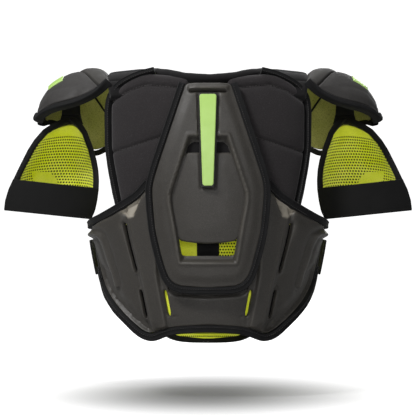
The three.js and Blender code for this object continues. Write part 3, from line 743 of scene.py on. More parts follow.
def moulded_look(name, base, pale, grain=1.0, gloss=(0.4, 0.54)):
    """Moulded foam with a close, slightly pebbled skin, paler where the mask marks a facet: a painted
    highlight, as if the facet caught the light.
    """
    look = Look(name, Specular_IOR_Level=0.5, Sheen_Weight=0.08, Sheen_Roughness=0.45)
    tone = look.mix(look.ramp(look.noise(26.0, 3.0), 0.3, 0.7), shade(base, 0.94), shade(base))
    speck = look.ramp(look.noise(900.0, 2.0), 0.45, 0.75)
    tone = look.mix(look.times(speck, 0.3), tone, shade(pale))
    tone = worn(look, tone, shade(pale), 0.55)
    # The mask marks facets whose colour is paled by a painted highlight.
    painted_highlight = look.node("ShaderNodeAttribute", attribute_name="mask").outputs["Fac"]
    tone = look.mix(look.times(painted_highlight, 0.85), tone, shade(pale, 1.75))
    pebble = look.bump(look.cells(1250.0), 0.35 * grain, 0.28)
    skin = look.bump(look.noise(420.0, 4.0, 0.6), 0.3 * grain, 0.3, pebble)
    rough = look.ramp(look.noise(90.0, 3.0), 0.3, 0.7, *gloss)
    return look.finish(tone, rough, skin)


def knit_look(name, base, pale, pitch=1.5, sheen=0.16, relief=0.36):
    """A close knit, from two crossing waves in the piece's own place."""
    look = Look(name, Specular_IOR_Level=0.2, Sheen_Weight=sheen, Sheen_Roughness=0.5)
    x, _, z = look.split(look.place)[:3]
    wobble = look.math("MULTIPLY_ADD", look.noise(300.0), 0.0012, z)
    loops = look.times(look.wave(x, pitch), look.wave(wobble, pitch * 0.8))
    tone = look.mix(look.ramp(look.noise(20.0, 3.0), 0.3, 0.7), shade(base, 0.92), shade(base))
    tone = look.mix(look.times(loops, 0.32), tone, shade(pale))
    tone = look.mix(look.ramp(look.noise(800.0, 2.0), 0.5, 0.75, 0.0, 0.4), tone, shade(pale))
    tone = worn(look, tone, shade(pale), 0.35)
    height = look.math("ADD", loops, look.times(look.noise(1400.0, 2.0), 0.5))
    return look.finish(tone, 0.86, look.bump(height, relief, 0.5))


def tape_look(name, base, pale, along=1.3, across=2.2, relief=0.4):
    """Woven tape: ribs across its length and a few cords along it."""
    look = Look(name, Specular_IOR_Level=0.25, Sheen_Weight=0.06, Sheen_Roughness=0.4)
    u, v = look.split(look.flat)[:2]
    ribs = look.wave(u, along)
    cords = look.wave(v, across)
    weave = look.math("MULTIPLY_ADD", cords, 0.4, look.times(ribs, 0.6))
    tone = look.mix(look.times(weave, 0.5), shade(base), shade(pale))
    tone = look.mix(look.times(look.ramp(look.noise(45.0, 3.0), 0.45, 0.75), 0.25), tone, shade(pale))
    tone = worn(look, tone, shade(pale, 1.25), 0.4)
    height = look.math("ADD", weave, look.times(look.noise(1600.0), 0.4))
    return look.finish(tone, 0.78, look.bump(height, relief, 0.35))


def perforated(look, tone, height):
    """Punches staggered rows of dark holes where the mask allows."""
    u, v = look.split(look.flat)[:2]
    row = look.math("DIVIDE", v, HOLE_ROW_PITCH * MM)
    turn = look.times(look.math("MODULO", look.math("FLOOR", row), 2.0), 0.5)
    column = look.math("ADD", look.math("DIVIDE", u, HOLE_PITCH * MM), turn)
    dx = look.times(look.math("SUBTRACT", look.math("FRACT", column), 0.5), HOLE_PITCH)
    dz = look.times(look.math("SUBTRACT", look.math("FRACT", row), 0.5), HOLE_ROW_PITCH)
    squares = look.math("ADD", look.math("POWER", dx, 2.0), look.math("POWER", dz, 2.0))
    hole = look.ramp(look.math("SQRT", squares), HOLE_RADIUS + HOLE_BLUR, HOLE_RADIUS - HOLE_BLUR)
    mask = look.node("ShaderNodeAttribute", attribute_name="mask").outputs["Fac"]
    hole = look.times(hole, look.math("GREATER_THAN", mask, 0.5))
    tone = look.mix(hole, tone, shade(HOLE_COLOUR))
    return tone, look.math("SUBTRACT", height, look.times(hole, 3.0))


def liner_look(name, base, pale, dots=True, speckle=0.28, painted_glow=0.17):
    """Brushed lime liner, with or without its perforation, whose colour also glows a little: painted light
    that brightens it beyond what the lamps give.
    """
    look = Look(name, Specular_IOR_Level=0.2, Sheen_Weight=0.25, Sheen_Roughness=0.5)
    fuzz = look.noise(900.0, 3.0, 0.65)
    tone = look.mix(look.ramp(look.noise(30.0, 2.0), 0.3, 0.7), shade(base), shade(pale))
    specks = look.times(look.ramp(fuzz, 0.45, 0.7), speckle)
    tone = look.mix(specks, tone, shade(base, 0.55))
    height = fuzz
    if dots:
        tone, height = perforated(look, tone, height)
    # The glow is painted light: the liner shines with its own colour, which no lamp gives it.
    look.give(look.shader.inputs["Emission Color"], tone)
    look.give(look.shader.inputs["Emission Strength"], painted_glow)
    return look.finish(tone, 0.8, look.bump(height, 0.35, 0.4))


def label_look():
    look = Look("label", Specular_IOR_Level=0.5, Coat_Weight=0.25, Coat_Roughness=0.3)
    blotch = look.ramp(look.noise(40.0, 3.0), 0.3, 0.7)
    tone = look.mix(blotch, shade((184, 226, 112)), shade((194, 234, 126)))
    tone = worn(look, tone, shade((216, 240, 170)), 0.5)
    rough = look.ramp(look.noise(200.0), 0.3, 0.7, 0.34, 0.46)
    return look.finish(tone, rough, look.bump(look.noise(700.0), 0.12, 0.2))


def fuzz_look():
    look = Look("loop_fuzz", Specular_IOR_Level=0.1, Sheen_Weight=0.6, Sheen_Roughness=0.6)
    tone = look.mix(look.noise(1100.0, 3.0), shade((20, 20, 21)), shade((52, 51, 52)))
    return look.finish(tone, 0.95, look.bump(look.noise(1300.0, 4.0, 0.7), 0.8, 0.9))


LOOKS = {
    "shell": moulded_look("moulded_foam", (57, 54, 50), (96, 92, 84)),
    "dark_shell": moulded_look("moulded_foam_dark", (33, 32, 31), (62, 60, 57), 0.7),
    "cap_shell": moulded_look("cap_skin", (47, 45, 44), (78, 75, 71), 0.6, (0.62, 0.76)),
    "cap_inner": moulded_look("cap_inner_skin", (54, 52, 49), (88, 85, 80), 0.6, (0.6, 0.74)),
    "knit": knit_look("charcoal_knit", (41, 38, 39), (72, 68, 70)),
    "strap_knit": knit_look("black_knit", (19, 18, 19), (40, 38, 39), 1.2, 0.12, 0.28),
    "tape": tape_look("binding_tape", (13, 13, 14), (34, 34, 35)),
    "elastic": tape_look("elastic_webbing", (12, 12, 12), (26, 26, 26), 0.9, 1.6, 0.4),
    "thread": tape_look("thread", (40, 39, 39), (78, 76, 75), 0.8, 0.6, 0.3),
    "liner": liner_look("lime_liner", (226, 236, 34), (242, 248, 92)),
    # The caps' lining is the lime liner painted a darker olive: painted shade for the shadow under the caps.
    "shaded_liner": liner_look("lime_liner_painted_shade", (172, 172, 92), (196, 194, 118), False, 0.8, 0.02),
    "label": label_look(),
    "fuzz": fuzz_look(),
}


# ---- Putting pieces on their bodies ----


def coat(piece, look):
    piece.data.materials.clear()
    piece.data.materials.append(LOOKS[look])


def place(piece, look, body, node=None):
    """Gives a piece its look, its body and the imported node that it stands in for."""
    coat(piece, look)
    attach(piece, body)
    if node:
        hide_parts(node)


def place_pair(right, look, body, node=None):
    """Places a right-hand piece and its mirror image, on bodies and nodes named with {side}."""
    left = mirror_copy(right, right.name.removesuffix("_right") + "_left")
    for side, piece in (("right", right), ("left", left)):
        place(piece, look, body.format(side=side), node and node.format(side=side))


def seam(name, line, out, stitch, chart=back, drawn_at=DRAWN_AT):
    """A row of stitches along a line drawn on the torso, at a height over it."""
    flat = unwrap(line, drawn_at)
    count = int(run_along(flat)[-1] / 2) + 3
    s, z = curve_through(flat, count).T
    points = chart(s, z, np.full_like(s, out))
    return stitches(name, points, chart(s, z, np.full_like(s, out + 1.0)) - points, *stitch)


SWELL_FRAMES = 20
PRESSURE = 4.0
QUILT_SPREAD, SEAM_DEPTH, SEAM_WIDTH = 9.0, 2.4, 1.9
PAD_EDGE, PINNED_EDGE, PINNED_SEAM = 6.0, 3.5, 1.8


def vertex_places(mesh):
    """A mesh's vertices, in metres."""
    co = np.zeros(len(mesh.vertices) * 3)
    mesh.vertices.foreach_get("co", co)
    return co.reshape(-1, 3)


def puff(piece, pinned, most):
    """Swells a pad with a cloth simulation: the pinned vertices stay and no other moves further than most."""
    mesh = piece.data
    group = piece.vertex_groups.new(name="sewn")
    group.add([int(i) for i in np.flatnonzero(pinned)], 1.0, "REPLACE")
    cloth = piece.modifiers.new("Cloth", "CLOTH")
    cloth.settings.vertex_group_mass = "sewn"
    cloth.settings.quality = 4
    cloth.settings.mass = 0.2
    cloth.settings.tension_stiffness = 12
    cloth.settings.compression_stiffness = 12
    cloth.settings.bending_stiffness = 0.4
    cloth.settings.use_pressure = True
    cloth.settings.uniform_pressure_force = PRESSURE
    cloth.settings.effector_weights.gravity = 0
    cloth.collision_settings.use_collision = False
    cloth.point_cache.frame_start, cloth.point_cache.frame_end = 1, SWELL_FRAMES
    scene = bpy.context.scene
    for number in range(1, SWELL_FRAMES + 1):
        scene.frame_set(number)
    shown = piece.evaluated_get(bpy.context.evaluated_depsgraph_get()).to_mesh()
    rest = vertex_places(mesh)
    move = vertex_places(shown) - rest
    length = np.linalg.norm(move, axis=1, keepdims=True)
    move *= np.minimum(1, most * MM / np.maximum(length, 1e-9))
    piece.modifiers.remove(cloth)
    piece.vertex_groups.remove(group)
    scene.frame_set(1)
    mesh.vertices.foreach_set("co", (rest + move).ravel())
    mesh.update()


def padded(name, outline, layer, lines, rise, chart=back, step=2.6, swell=4.0):
    """A quilted pad: it rises away from its sewn lines and edge, then a cloth simulation swells it."""

    def quilted(seen, gap):
        sewn = np.min([line_distance(seen, line) for line in lines], axis=0)
        body = 1 - bell(np.minimum(sewn, gap), QUILT_SPREAD, 1.3)
        return rise * body - SEAM_DEPTH * bell(sewn, SEAM_WIDTH)

    piece = panel(name, outline, layer, chart, step=step, edge=PAD_EDGE, relief=quilted)
    seen = vertex_places(piece.data)[:, [0, 2]] / MM
    pinned = np.arange(len(seen)) >= len(seen) // 2
    pinned |= line_distance(seen, soften(outline), closed=True) < PINNED_EDGE
    for line in lines:
        pinned |= line_distance(seen, line) < PINNED_SEAM
    puff(piece, pinned, swell)
    return piece


# ---- The back half ----

# Layers: each piece's lowest and highest height over the wearer.
LINER, SPINE_STRAP, FOAM, UPPER_PAD, SHELL = (0, 3), (4.5, 7), (4.6, 8.6), (4.6, 16.5), (12, 18.4)
BINDING, WING_BAND, SPINE, SPINE_BINDING = (1, 20.5), (4.6, 22), (24, 32.4), (23, 34)
FRONT_PAD, CHEST_PLATE, LOOP_PATCH = (4.6, 13.5), (16.6, 22), (16.4, 18)
SLIT_LINING, BACKING = (8.0, 12.6), (19.5, 23.5)
# Heights at which the rows of stitches lie.
BACK_PAD_STITCHES, ARMHOLE_STITCHES, WING_STITCHES, HEM_STITCHES = 14.9, 19.9, 21.6, 20.0
SPINE_STITCHES, FRONT_PAD_STITCHES = 33.4, 12.6

# Outlines and lines, as (x, z) seen from behind. A piece in the middle is drawn by its right half.
BACK_LINER = [(0, 42), (60, 39), (82, 35), (107, 56), (126, 80), (141, 108), (149, 140), (154, 162),
              (126, 181), (120, 215), (125, 254), (130, 286), (132, 345), (120, 360), (88, 371), (0, 364)]
UPPER_OUTLINE = [(48, 236), (76, 244), (88, 234), (102, 208), (124, 202), (134.5, 254), (140.2, 286),
                 (140.8, 345), (138.2, 362.5), (124.8, 378), (106.4, 389), (90, 395), (60, 393), (26, 388),
                 (30, 330)]
ARMHOLE_EDGE = [(76, 398), (96, 393), (113, 386), (129, 375.5), (139.5, 361), (142.8, 345), (142.8, 320),
                (141.8, 286), (137, 254), (131, 224), (126, 203)]
UPPER_SEAM = [(52, 306), (68, 302.5), (92, 295), (114, 288), (139, 281)]
UPPER_FOLD = [(20, 371), (52, 374), (88, 377), (112, 369), (141, 351)]
LOWER_OUTLINE = [(0, 39.5), (45, 36.5), (64, 32), (79, 26.5), (91, 29.5), (113.5, 47), (135, 69), (147, 88),
                 (153.5, 106), (160, 137), (169, 171), (128, 199), (101, 214), (81, 236), (70, 180),
                 (58, 133), (50, 118), (0, 112)]
SLITS = [((118, 182), (101, 112)), ((95.4, 88.5), (87, 48)), ((60.7, 88), (54, 52))]
SLIT_WIDTH, SLIT_LINING_MARGIN = 4.0, 5
LINER_MIDDLE = 14
WING_FOAM = [(74, 46), (84, 42), (106, 59), (124, 80), (139, 108), (147, 140), (153, 160), (124, 178),
             (98, 192), (92, 176), (80, 130), (72, 96)]
WING_EDGE = [(84, 239), (94, 227), (104, 218), (126, 204), (149, 190.5), (170, 178)]
BACK_HEM = [(0, 34), (45, 31.4), (62, 27), (80, 21), (93.5, 24.5), (117, 43.5), (139.5, 66.5), (152, 86.5),
            (157.5, 102), (159.5, 118)]
# The ridge's edges, as (z, x).
RIDGE_OUTER = [(36, 81), (48, 83.5), (88, 91.5), (112, 97), (146, 105.5), (182, 114), (196, 117)]
RIDGE_INNER = [(36, 54), (52, 57), (88, 64), (112, 68)]
SIDE_BAR = [(172, 164), (155, 167), (150, 163), (133, 92)]
FACET = [(90, 226), (94, 214), (103, 189.5), (112, 188.5), (121, 196), (130, 204), (108, 228)]
# How far the wing's band is lifted at each point of its edge.
WING_FLARE = [0, 0, 0, 0, 1.5, 4]


def lower_relief(seen, gap):
    """The wings' upright ridges, the bent bars at their sides and the facets along their edges."""
    p = folded(seen)
    outer = smoothstep((read_off(RIDGE_OUTER, p[:, 1]) - p[:, 0]) / 5.5)
    ridge = 4.6 * outer * smoothstep((p[:, 0] - read_off(RIDGE_INNER, p[:, 1])) / 5)
    apart = line_distance(p, SIDE_BAR)
    bar = 3.0 * bell(apart, 3.0, 4) - 1.5 * bell(apart - 6.5, 2.0)
    hem = -3.6 * np.clip((18 - line_distance(p, LOWER_OUTLINE[3:9])) / 13, 0, 1)
    above = 0.25 * (p[:, 0] - 104) + 0.97 * (p[:, 1] - 188)
    band = -0.38 * np.clip(above, 0, 28) * plateau(p, FACET, 2.5)
    flare = 6.0 * smoothstep((p[:, 1] - 146) / 28) * smoothstep((p[:, 0] - 134) / 26)
    wing = 1 - smoothstep((read_off(RIDGE_OUTER, p[:, 1]) + 5 - p[:, 0]) / 5)
    lean = np.clip(0.09 * (p[:, 1] - 150), -3.6, 2.6) * wing
    moat = -2.6 * smoothstep((13 - line_distance(p, SPINE_EDGE[:4])) / 5) * (p[:, 0] < 56)
    middle = -1.6 * groove(p, [(47, 52), (58, 116)], 2.0) * (p[:, 1] < 52)
    return (ridge + lean + bar + hem + band + moat + middle + flare) * smoothstep(gap / 5)


def slit(start, end, side):
    """A flex slit's outline, from the line down its middle."""
    (x0, z0), (x1, z1) = start, end
    length = math.hypot(x1 - x0, z1 - z0)
    dx, dz = (z1 - z0) / length * SLIT_WIDTH / 2, (x1 - x0) / length * SLIT_WIDTH / 2
    corners = [(x0 + dx, z0 - dz), (x1 + dx, z1 - dz), (x1 - dx, z1 + dz), (x0 - dx, z0 + dz)]
    return [(side * x, z) for x, z in corners]


def beside(line, by):
    """A line moved sideways, to its left when by is positive."""
    line = np.array(line, float)
    ahead = np.gradient(line, axis=0)
    ahead /= np.linalg.norm(ahead, axis=1, keepdims=True)
    return line + by * np.stack([-ahead[:, 1], ahead[:, 0]], -1)


def back_half():
    liner = panel("back_liner_mesh", mirrored(BACK_LINER), LINER, step=4.5, edge=1.0,
                  attribute=lambda seen: seen[:, 0] > LINER_MIDDLE)
    place(liner, "liner", "back_half", "back_liner")
    upper_pads()
    lower_back()
    strap = panel("spine_webbing", mirrored([(0, 122), (16, 122), (16, 362), (0, 362)]), SPINE_STRAP,
                  step=5, edge=1.0, soft=0)
    place(strap, "elastic", "back_half", "spine_strap")
    for name, line, by, out in (("armhole", ARMHOLE_EDGE, -1.6, ARMHOLE_STITCHES),
                                ("wing_band", WING_EDGE, -3.2, WING_STITCHES)):
        row = seam(f"{name}_stitches_right", beside(line, by), out, TAPE_STITCH)
        place_pair(row, "thread", "back_half")
    row = seam("back_hem_stitches", beside(spanned(BACK_HEM), 2.4), HEM_STITCHES, TAPE_STITCH)
    place(row, "thread", "back_half")
    collar()
    shoulder_straps()


def upper_pads():
    lines = [UPPER_SEAM, UPPER_FOLD]
    pad = padded("upper_back_pad_right", UPPER_OUTLINE, UPPER_PAD, lines, rise=2.6)
    place_pair(pad, "knit", "back_half", "upper_pad_{side}")
    for number, line in enumerate(lines):
        row = seam(f"upper_stitches_{number}_right", line, BACK_PAD_STITCHES, PAD_STITCH)
        place_pair(row, "thread", "back_half")
    tape = torso_tape("armhole_tape_right", beside(ARMHOLE_EDGE, 1.0), 7.6, BINDING, bead=1)
    place_pair(tape, "tape", "back_half", "armhole_binding_{side}")


def lower_back():
    holes = [slit(*ends, side) for ends in SLITS for side in (RIGHT, LEFT)]
    # The mask marks the facets beside the wing bands, which the foam's colour pales as a painted highlight.
    shell = panel("lower_back_panel", mirrored(LOWER_OUTLINE), SHELL, holes=holes, step=2.2, edge=2.2,
                  relief=lower_relief, soft=1, attribute=lambda seen: plateau(np.abs(seen), FACET, 1.5))
    place(shell, "shell", "back_half", "lower_back_shell")
    # The foam under the slits wears the black webbing's colour: painted shade that makes the slits read dark.
    foam = panel("wing_foam_pad_right", WING_FOAM, FOAM, step=6, edge=2.5)
    place_pair(foam, "elastic", "back_half", "wing_foam_{side}")
    band = torso_tape("wing_band_roll_right", WING_EDGE, 12.5, WING_BAND, bead=1, lifts=WING_FLARE)
    place_pair(band, "tape", "back_half", "wing_band_{side}")
    hem = torso_tape("back_hem_tape", spanned(BACK_HEM), 11.5, BINDING, bead=-1)
    place(hem, "tape", "back_half", "back_hem_binding")
    (x0, z0), (x1, z1) = SLITS[-1]
    m = SLIT_LINING_MARGIN
    outline = [(x0 - m, z0 + m), (x0 + m, z0 + m), (x1 + m, z1 - m), (x1 - m, z1 - m)]
    strip = panel("slit_lining_0_right", outline, SLIT_LINING, step=4, edge=1.0, soft=0)
    place_pair(strip, "liner", "back_half")


COLLAR_PATH = [(0, -92, 384), (30, -88.5, 386), (60, -74, 392), (79, -46, 395), (84, -8, 395)]
COLLAR_RADII = (8.0, 7.6)


def collar():
    half = np.array(COLLAR_PATH, float)
    path = np.vstack([half[:0:-1] * (-1, 1, 1), half])
    points = curve_through(path, 110)
    angles = np.linspace(0, 2 * math.pi, 24, endpoint=False)
    profile = np.stack([COLLAR_RADII[0] * np.cos(angles), COLLAR_RADII[1] * np.sin(angles)], -1)
    profile *= 1 - 0.12 * bell(angles - 3.6, 0.22)[:, None]

    def gathered(section, t):
        return section * (1 + 0.025 * math.sin(t * 46) + 0.015 * math.sin(t * 91 + 2))

    roll = swept("collar_roll", points, np.tile([0.0, 0.0, 1.0], (len(points), 1)), profile, ripple=gathered)
    place(roll, "strap_knit", "back_half", "collar")


BRIDGE_PATH = [(-80, 360), (-74, 376), (-64, 388), (-46, 397.5), (-22, 403), (0, 404.4), (30, 403),
               (58, 398), (78, 388), (90, 374), (94, 360)]
BRIDGE_LAYER = (-9.0, -0.4)
BRIDGE_SEAMS = (0.2, 0.35, 0.5, 0.65, 0.8)
BRIDGE_LENGTH = 240


def bridge(u, v):
    """The right shoulder strap's top surface: u from the neck to the arm, v from the back to the front."""
    path = spline(BRIDGE_PATH, v)
    end = np.abs(2 * v - 1) ** 3
    inner, outer = 87 - 3 * end, 144 - 6 * end
    x = inner + (outer - inner) * u
    y, z = path[..., 0], path[..., 1]
    return np.stack([x, y, z - 6 * u * (1 - end)], -1)


def shoulder_straps():
    def quilted(u, v, gap):
        lines = np.min([np.abs(v - at) for at in BRIDGE_SEAMS], axis=0) * BRIDGE_LENGTH
        return 1.4 * (1 - bell(np.minimum(lines, gap), 6, 1.4)) - 0.9 * bell(lines, 1.5)

    right = sheet("shoulder_strap_right", bridge, BRIDGE_LAYER, whole, (30, 110), edge=4, relief=quilted)
    left = mirror_copy(right, "shoulder_strap_left")
    for side, piece in (("right", right), ("left", left)):
        coat(piece, "strap_knit")
        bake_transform(piece)
        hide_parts(f"shoulder_bridge_{side}")


# ---- The spine guard ----

SPINE_TOP = 378
SPINE_OUTLINE = [(0, 91), (43, 94), (55, 103), (62, 118), (76, 172), (80.5, 228), (78.5, 241.5),
                 (72, 262.5), (63, 290), (44.5, 345), (33.5, SPINE_TOP + 1), (0, SPINE_TOP + 1)]
SPINE_CREST = [(38.5, 127), (40, 133), (47, 176), (53.5, 210), (54, 224), (27.5, 304)]
SPINE_WINDOW = [(36.5, 136), (38, 140), (44, 176), (50.2, 210), (50.4, 223), (26.5, 296)]
SPINE_EDGE = [(0, 88), (44, 91), (57, 101), (64.5, 117), (78.5, 172), (83, 228), (81, 242), (75, 263),
              (66, 290), (47.5, 345), (36.5, SPINE_TOP)]
INSERT_OUTLINE = [(0, 153), (25, 154.5), (44, 158), (47, 176), (53.5, 210), (54, 224), (35.5, 281),
                  (0, 281)]
INSERT = (21.5, 26.6)
SPINE_BACKING = [(0, 268), (40, 268), (36, 330), (0, 330)]
TONGUE_TOP, TONGUE_BOTTOM = 363.4, 231.0
TONGUE_CORNER = 4.0


def tongue_half(z):
    """Half the tongue's width at a height."""
    return np.interp(z, (TONGUE_BOTTOM, TONGUE_TOP), (10.8, 15))


def spine_relief(seen, gap):
    """A crest round the window with a wall down from it, a fall to the binding, and a lip at the top."""
    p = folded(seen)
    crest_line = mirrored(SPINE_CREST)
    past = np.where(inside(seen, crest_line), 1, -1) * line_distance(seen, crest_line, closed=True)
    wall = -6.6 * smoothstep(past / 5.5)
    crest = 1.3 * bell(past + 1.5, 2.4)
    outside = line_distance(p, SPINE_OUTLINE[:-1])
    fall = -2.2 * (1 - smoothstep((outside - 4) / 14))
    lip = 2.4 * bell(p[:, 1] - 371, 3.2, 4) * smoothstep((29 - p[:, 0]) / 2)
    slot = -6.0 * bell(p[:, 1] - 366.4, 1.5) * smoothstep((26.5 - p[:, 0]) / 2)
    beside_tongue = smoothstep((tongue_half(p[:, 1]) + 1.5 - p[:, 0]) / 1.6)
    channel = -2.6 * beside_tongue * (np.abs(p[:, 1] - 330) < 34.6)
    return wall + crest + fall + lip + np.minimum(slot, channel)


def insert_relief(seen, gap):
    """The plate in the window crowns a little, and a channel holds the tongue."""
    p = folded(seen)
    end = smoothstep((p[:, 1] - TONGUE_BOTTOM + 3) / 2)
    channel = smoothstep((tongue_half(p[:, 1]) + 1.8 - p[:, 0]) / 1.6) * end
    return 1.0 * smoothstep(gap / 24) - 1.8 * channel


def spine_face(z):
    """The line up the middle of the spine guard's face, at heights z."""
    foot = unwrap(np.stack([np.zeros_like(z), z], -1), SPINE_DRAWN_AT)
    return back(foot[:, 0], foot[:, 1], np.full_like(z, SPINE[1] + 0.6))


def tongue_bar(name, layer, bottom, top, halves, edge):
    """A tapered bar down the middle of the spine guard, between two heights over its face."""
    line = spine_face(np.linspace(bottom, top, 90))
    run = (line[:, 2] - line[0, 2]) / (line[-1, 2] - line[0, 2])

    def surface(u, v):
        at = np.clip(v, 0, 1)
        centre = read_line(line, run, at)
        half = halves[0] + (halves[1] - halves[0]) * v
        corner = np.clip(1 - np.minimum(v, 1 - v) * (top - bottom) / TONGUE_CORNER, 0, 1)
        half = half - TONGUE_CORNER * (1 - np.sqrt(1 - corner**2 * 0.96))
        centre[..., 0] = (2 * u - 1) * half
        centre[..., 2] += (v - at) * (top - bottom)
        return centre

    return sheet(name, surface, layer, whole, (24, 110), edge=edge, step=PLAIN_STEP)


def spine_guard():
    at_spine = {"drawn_at": SPINE_DRAWN_AT}
    shell = panel("spine_shell", mirrored(SPINE_OUTLINE), SPINE, holes=[mirrored(SPINE_WINDOW)], step=2.0,
                  edge=2.2, relief=spine_relief, soft=1, **at_spine)
    place(shell, "shell", "spine_guard", "spine_frame")
    tape = torso_tape("spine_tape", spanned(SPINE_EDGE), 10, SPINE_BINDING, bead=-1, **at_spine)
    place(tape, "tape", "spine_guard", "spine_binding")
    edge = beside(spanned(SPINE_EDGE), 2.2)
    row = seam("spine_stitches", edge, SPINE_STITCHES, TAPE_STITCH, **at_spine)
    place(row, "thread", "spine_guard")
    plate = panel("spine_plate", mirrored(INSERT_OUTLINE), INSERT, step=2.2, edge=2.6,
                  relief=insert_relief, soft=1, **at_spine)
    place(plate, "shell", "spine_guard", "spine_insert")
    backing = panel("spine_backing", mirrored(SPINE_BACKING), BACKING, step=5, edge=1.5, **at_spine)
    place(backing, "strap_knit", "spine_guard")
    bar = tongue_bar("spine_tongue_bar", (-7.5, 1.6), TONGUE_BOTTOM, TONGUE_TOP, (10.2, 14.2), 2.0)
    place(bar, "dark_shell", "spine_guard", "spine_tongue")
    label = tongue_bar("spine_label", (1.4, 3.4), TONGUE_BOTTOM + 2.8, TONGUE_TOP - 2.0, (7.7, 12.0), 1.2)
    place(label, "label", "spine_guard", "spine_tab")


# ---- The front half ----

FRONT_LINER = [(0, 5), (51, 9.5), (67, 19), (91, 42), (116, 88), (130, 140), (138, 178), (122, 210),
               (122, 260), (128, 320), (128, 351), (122, 361), (104, 369), (92, 357), (74, 334), (53, 312),
               (28, 294), (0, 288)]
CHEST_PAD = [(0, 152), (132, 152), (140, 182), (124, 212), (124, 260), (130, 320), (130, 352), (124, 362),
             (105, 371), (91, 357), (73, 335), (52.5, 313.5), (27, 296), (0, 290)]
BELLY_PAD = [(0, 14), (52, 18), (84, 42), (112, 88), (130, 148), (0, 148)]
CHEST_PLATE_OUTLINE = [(40, 178), (92, 176), (112, 202), (112, 262), (118, 322), (112, 344), (86, 348),
                       (69, 328), (40, 300)]
STERNUM_RINGS, STERNUM_Y = [0.5, 1.5, 3.0], (132.5, 140.0)
STERNUM_OUTLINE = [(0, 168), (28, 178), (35, 240), (35, 290), (0, 286)]
FRONT_NECK = [(0, 297), (24, 303), (48, 320), (68, 341), (86, 364), (95, 382)]
FRONT_ARMHOLE = [(112, 377), (130, 369), (136.5, 352), (136, 320), (131, 262), (130, 214), (147, 184)]
FRONT_HEM = [(0, 6.4), (49, 9.8), (66, 18.4), (92, 41), (120, 88), (138, 142), (145, 176)]
LOOP_OUTLINE = [(104, 108), (119, 108), (129, 144), (112, 144)]
CHEST_SEAMS = [[(-118, 160), (-30, 166), (30, 166), (118, 160)]]
BELLY_SEAMS = [[(-110, 104), (-40, 108), (40, 108), (110, 104)], [(-84, 62), (-40, 64), (40, 64), (84, 62)]]


def chest_relief(seen, gap):
    """A stepped face: a raised field inside a sloping border, with three cross grooves."""
    p = folded(seen)
    field = 2.2 * smoothstep((gap - 7) / 5)
    grooves = sum(groove(p, [(40, z), (80, z + 10), (120, z - 6)], 1.6) for z in (214, 250, 286))
    return field - 1.8 * grooves * smoothstep((gap - 8) / 4)


def front_half():
    liner = panel("front_liner_mesh", mirrored(FRONT_LINER), LINER, front, step=4.5, edge=1.0,
                  attribute=lambda seen: seen[:, 1] > 0)
    place(liner, "liner", "front_half", "front_liner")
    for part, outline, lines, rise, swell in (("chest", CHEST_PAD, CHEST_SEAMS, 1.2, 2.0),
                                              ("belly", BELLY_PAD, BELLY_SEAMS, 2.0, 3.0)):
        pad = padded(f"{part}_quilt", mirrored(outline), FRONT_PAD, lines, rise, front, 3.4, swell)
        place(pad, "knit", "front_half", f"{part}_pad")
    for number, line in enumerate(BELLY_SEAMS):
        row = seam(f"belly_stitches_{number}", line, FRONT_PAD_STITCHES, PAD_STITCH, front)
        place(row, "thread", "front_half")
    plate = panel("chest_guard_right", CHEST_PLATE_OUTLINE, CHEST_PLATE, front, step=2.6,
                  relief=chest_relief)
    place_pair(plate, "shell", "front_half", "chest_plate_{side}")
    place(sternum(), "shell", "front_half", "sternum_plate")
    neck = torso_tape("front_neck_tape", spanned(FRONT_NECK), 9.5, BINDING, front, bead=-1)
    place(neck, "tape", "front_half", "front_neck_binding")
    arm = torso_tape("front_armhole_tape_right", FRONT_ARMHOLE, 9.5, BINDING, front, bead=-1)
    place_pair(arm, "tape", "front_half", "front_armhole_binding_{side}")
    hem = torso_tape("front_hem_tape", spanned(FRONT_HEM), 14.5, BINDING, front, bead=1)
    place(hem, "tape", "front_half", "front_hem_binding")
    patch = panel("loop_fastener_right", LOOP_OUTLINE, LOOP_PATCH, front, step=3, edge=1.0)
    place_pair(patch, "fuzz", "front_half", "loop_patch_{side}")


def sternum():
    """The flat breastbone plate, with a raised field inside a sloping border."""
    outline = soften(mirrored(STERNUM_OUTLINE))
    flat, triangles, loops = fill_outline([outline], 2.4, STERNUM_RINGS)
    gap = edge_distance(flat, loops)
    rise = np.sqrt(1 - (1 - np.clip(gap / STERNUM_RINGS[-1], 0, 1)) ** 2)
    field = 1.2 * smoothstep((gap - 8) / 4)
    across, z = flat.T
    outer = np.stack([across, STERNUM_Y[1] + 2.4 * rise + field, z], -1)
    inner = np.stack([across, np.full_like(z, STERNUM_Y[0]), z], -1)
    vertices, faces = thick_mesh(flat, triangles, inner, outer)
    piece = new_object("sternum_guard", vertices, faces, np.vstack([flat, flat]))
    face_outwards(piece)
    return piece


def wing_side(turn, z):
    """The wearer's side, by its turn from straight behind."""
    return torso(FLAT_ARC + (turn - TURN) * SIDE_RADIUS, z)


def side_straps():
    tall = STRAP_TOP - STRAP_BOTTOM

    def anchor_place(u, v):
        return np.radians(76 + 12 * u), STRAP_BOTTOM - 2 + (tall + 2) * v

    def strap_place(u, v):
        return u, STRAP_BOTTOM + tall * v

    def pull_place(u, v):
        return 0.72 + 0.27 * u, STRAP_BOTTOM + 4 + (tall - 8) * v

    strap = sheet("side_elastic_right", side_strap, (0.0, 2.5), strap_place, (60, 30), 1.2, step=PLAIN_STEP)
    place_pair(strap, "elastic", "side_strap_{side}", "side_strap_{side}")
    end = sheet("side_elastic_end_right", wing_side, (12.5, 17.5), anchor_place, (24, 24), 1.6,
                step=PLAIN_STEP)
    place_pair(end, "elastic", "back_half")
    pull = sheet("side_pull_right", side_strap, (3.0, 5.2), pull_place, (24, 24), 1.6, step=PLAIN_STEP)
    place_pair(pull, "strap_knit", "side_strap_{side}", "side_strap_pull_{side}")


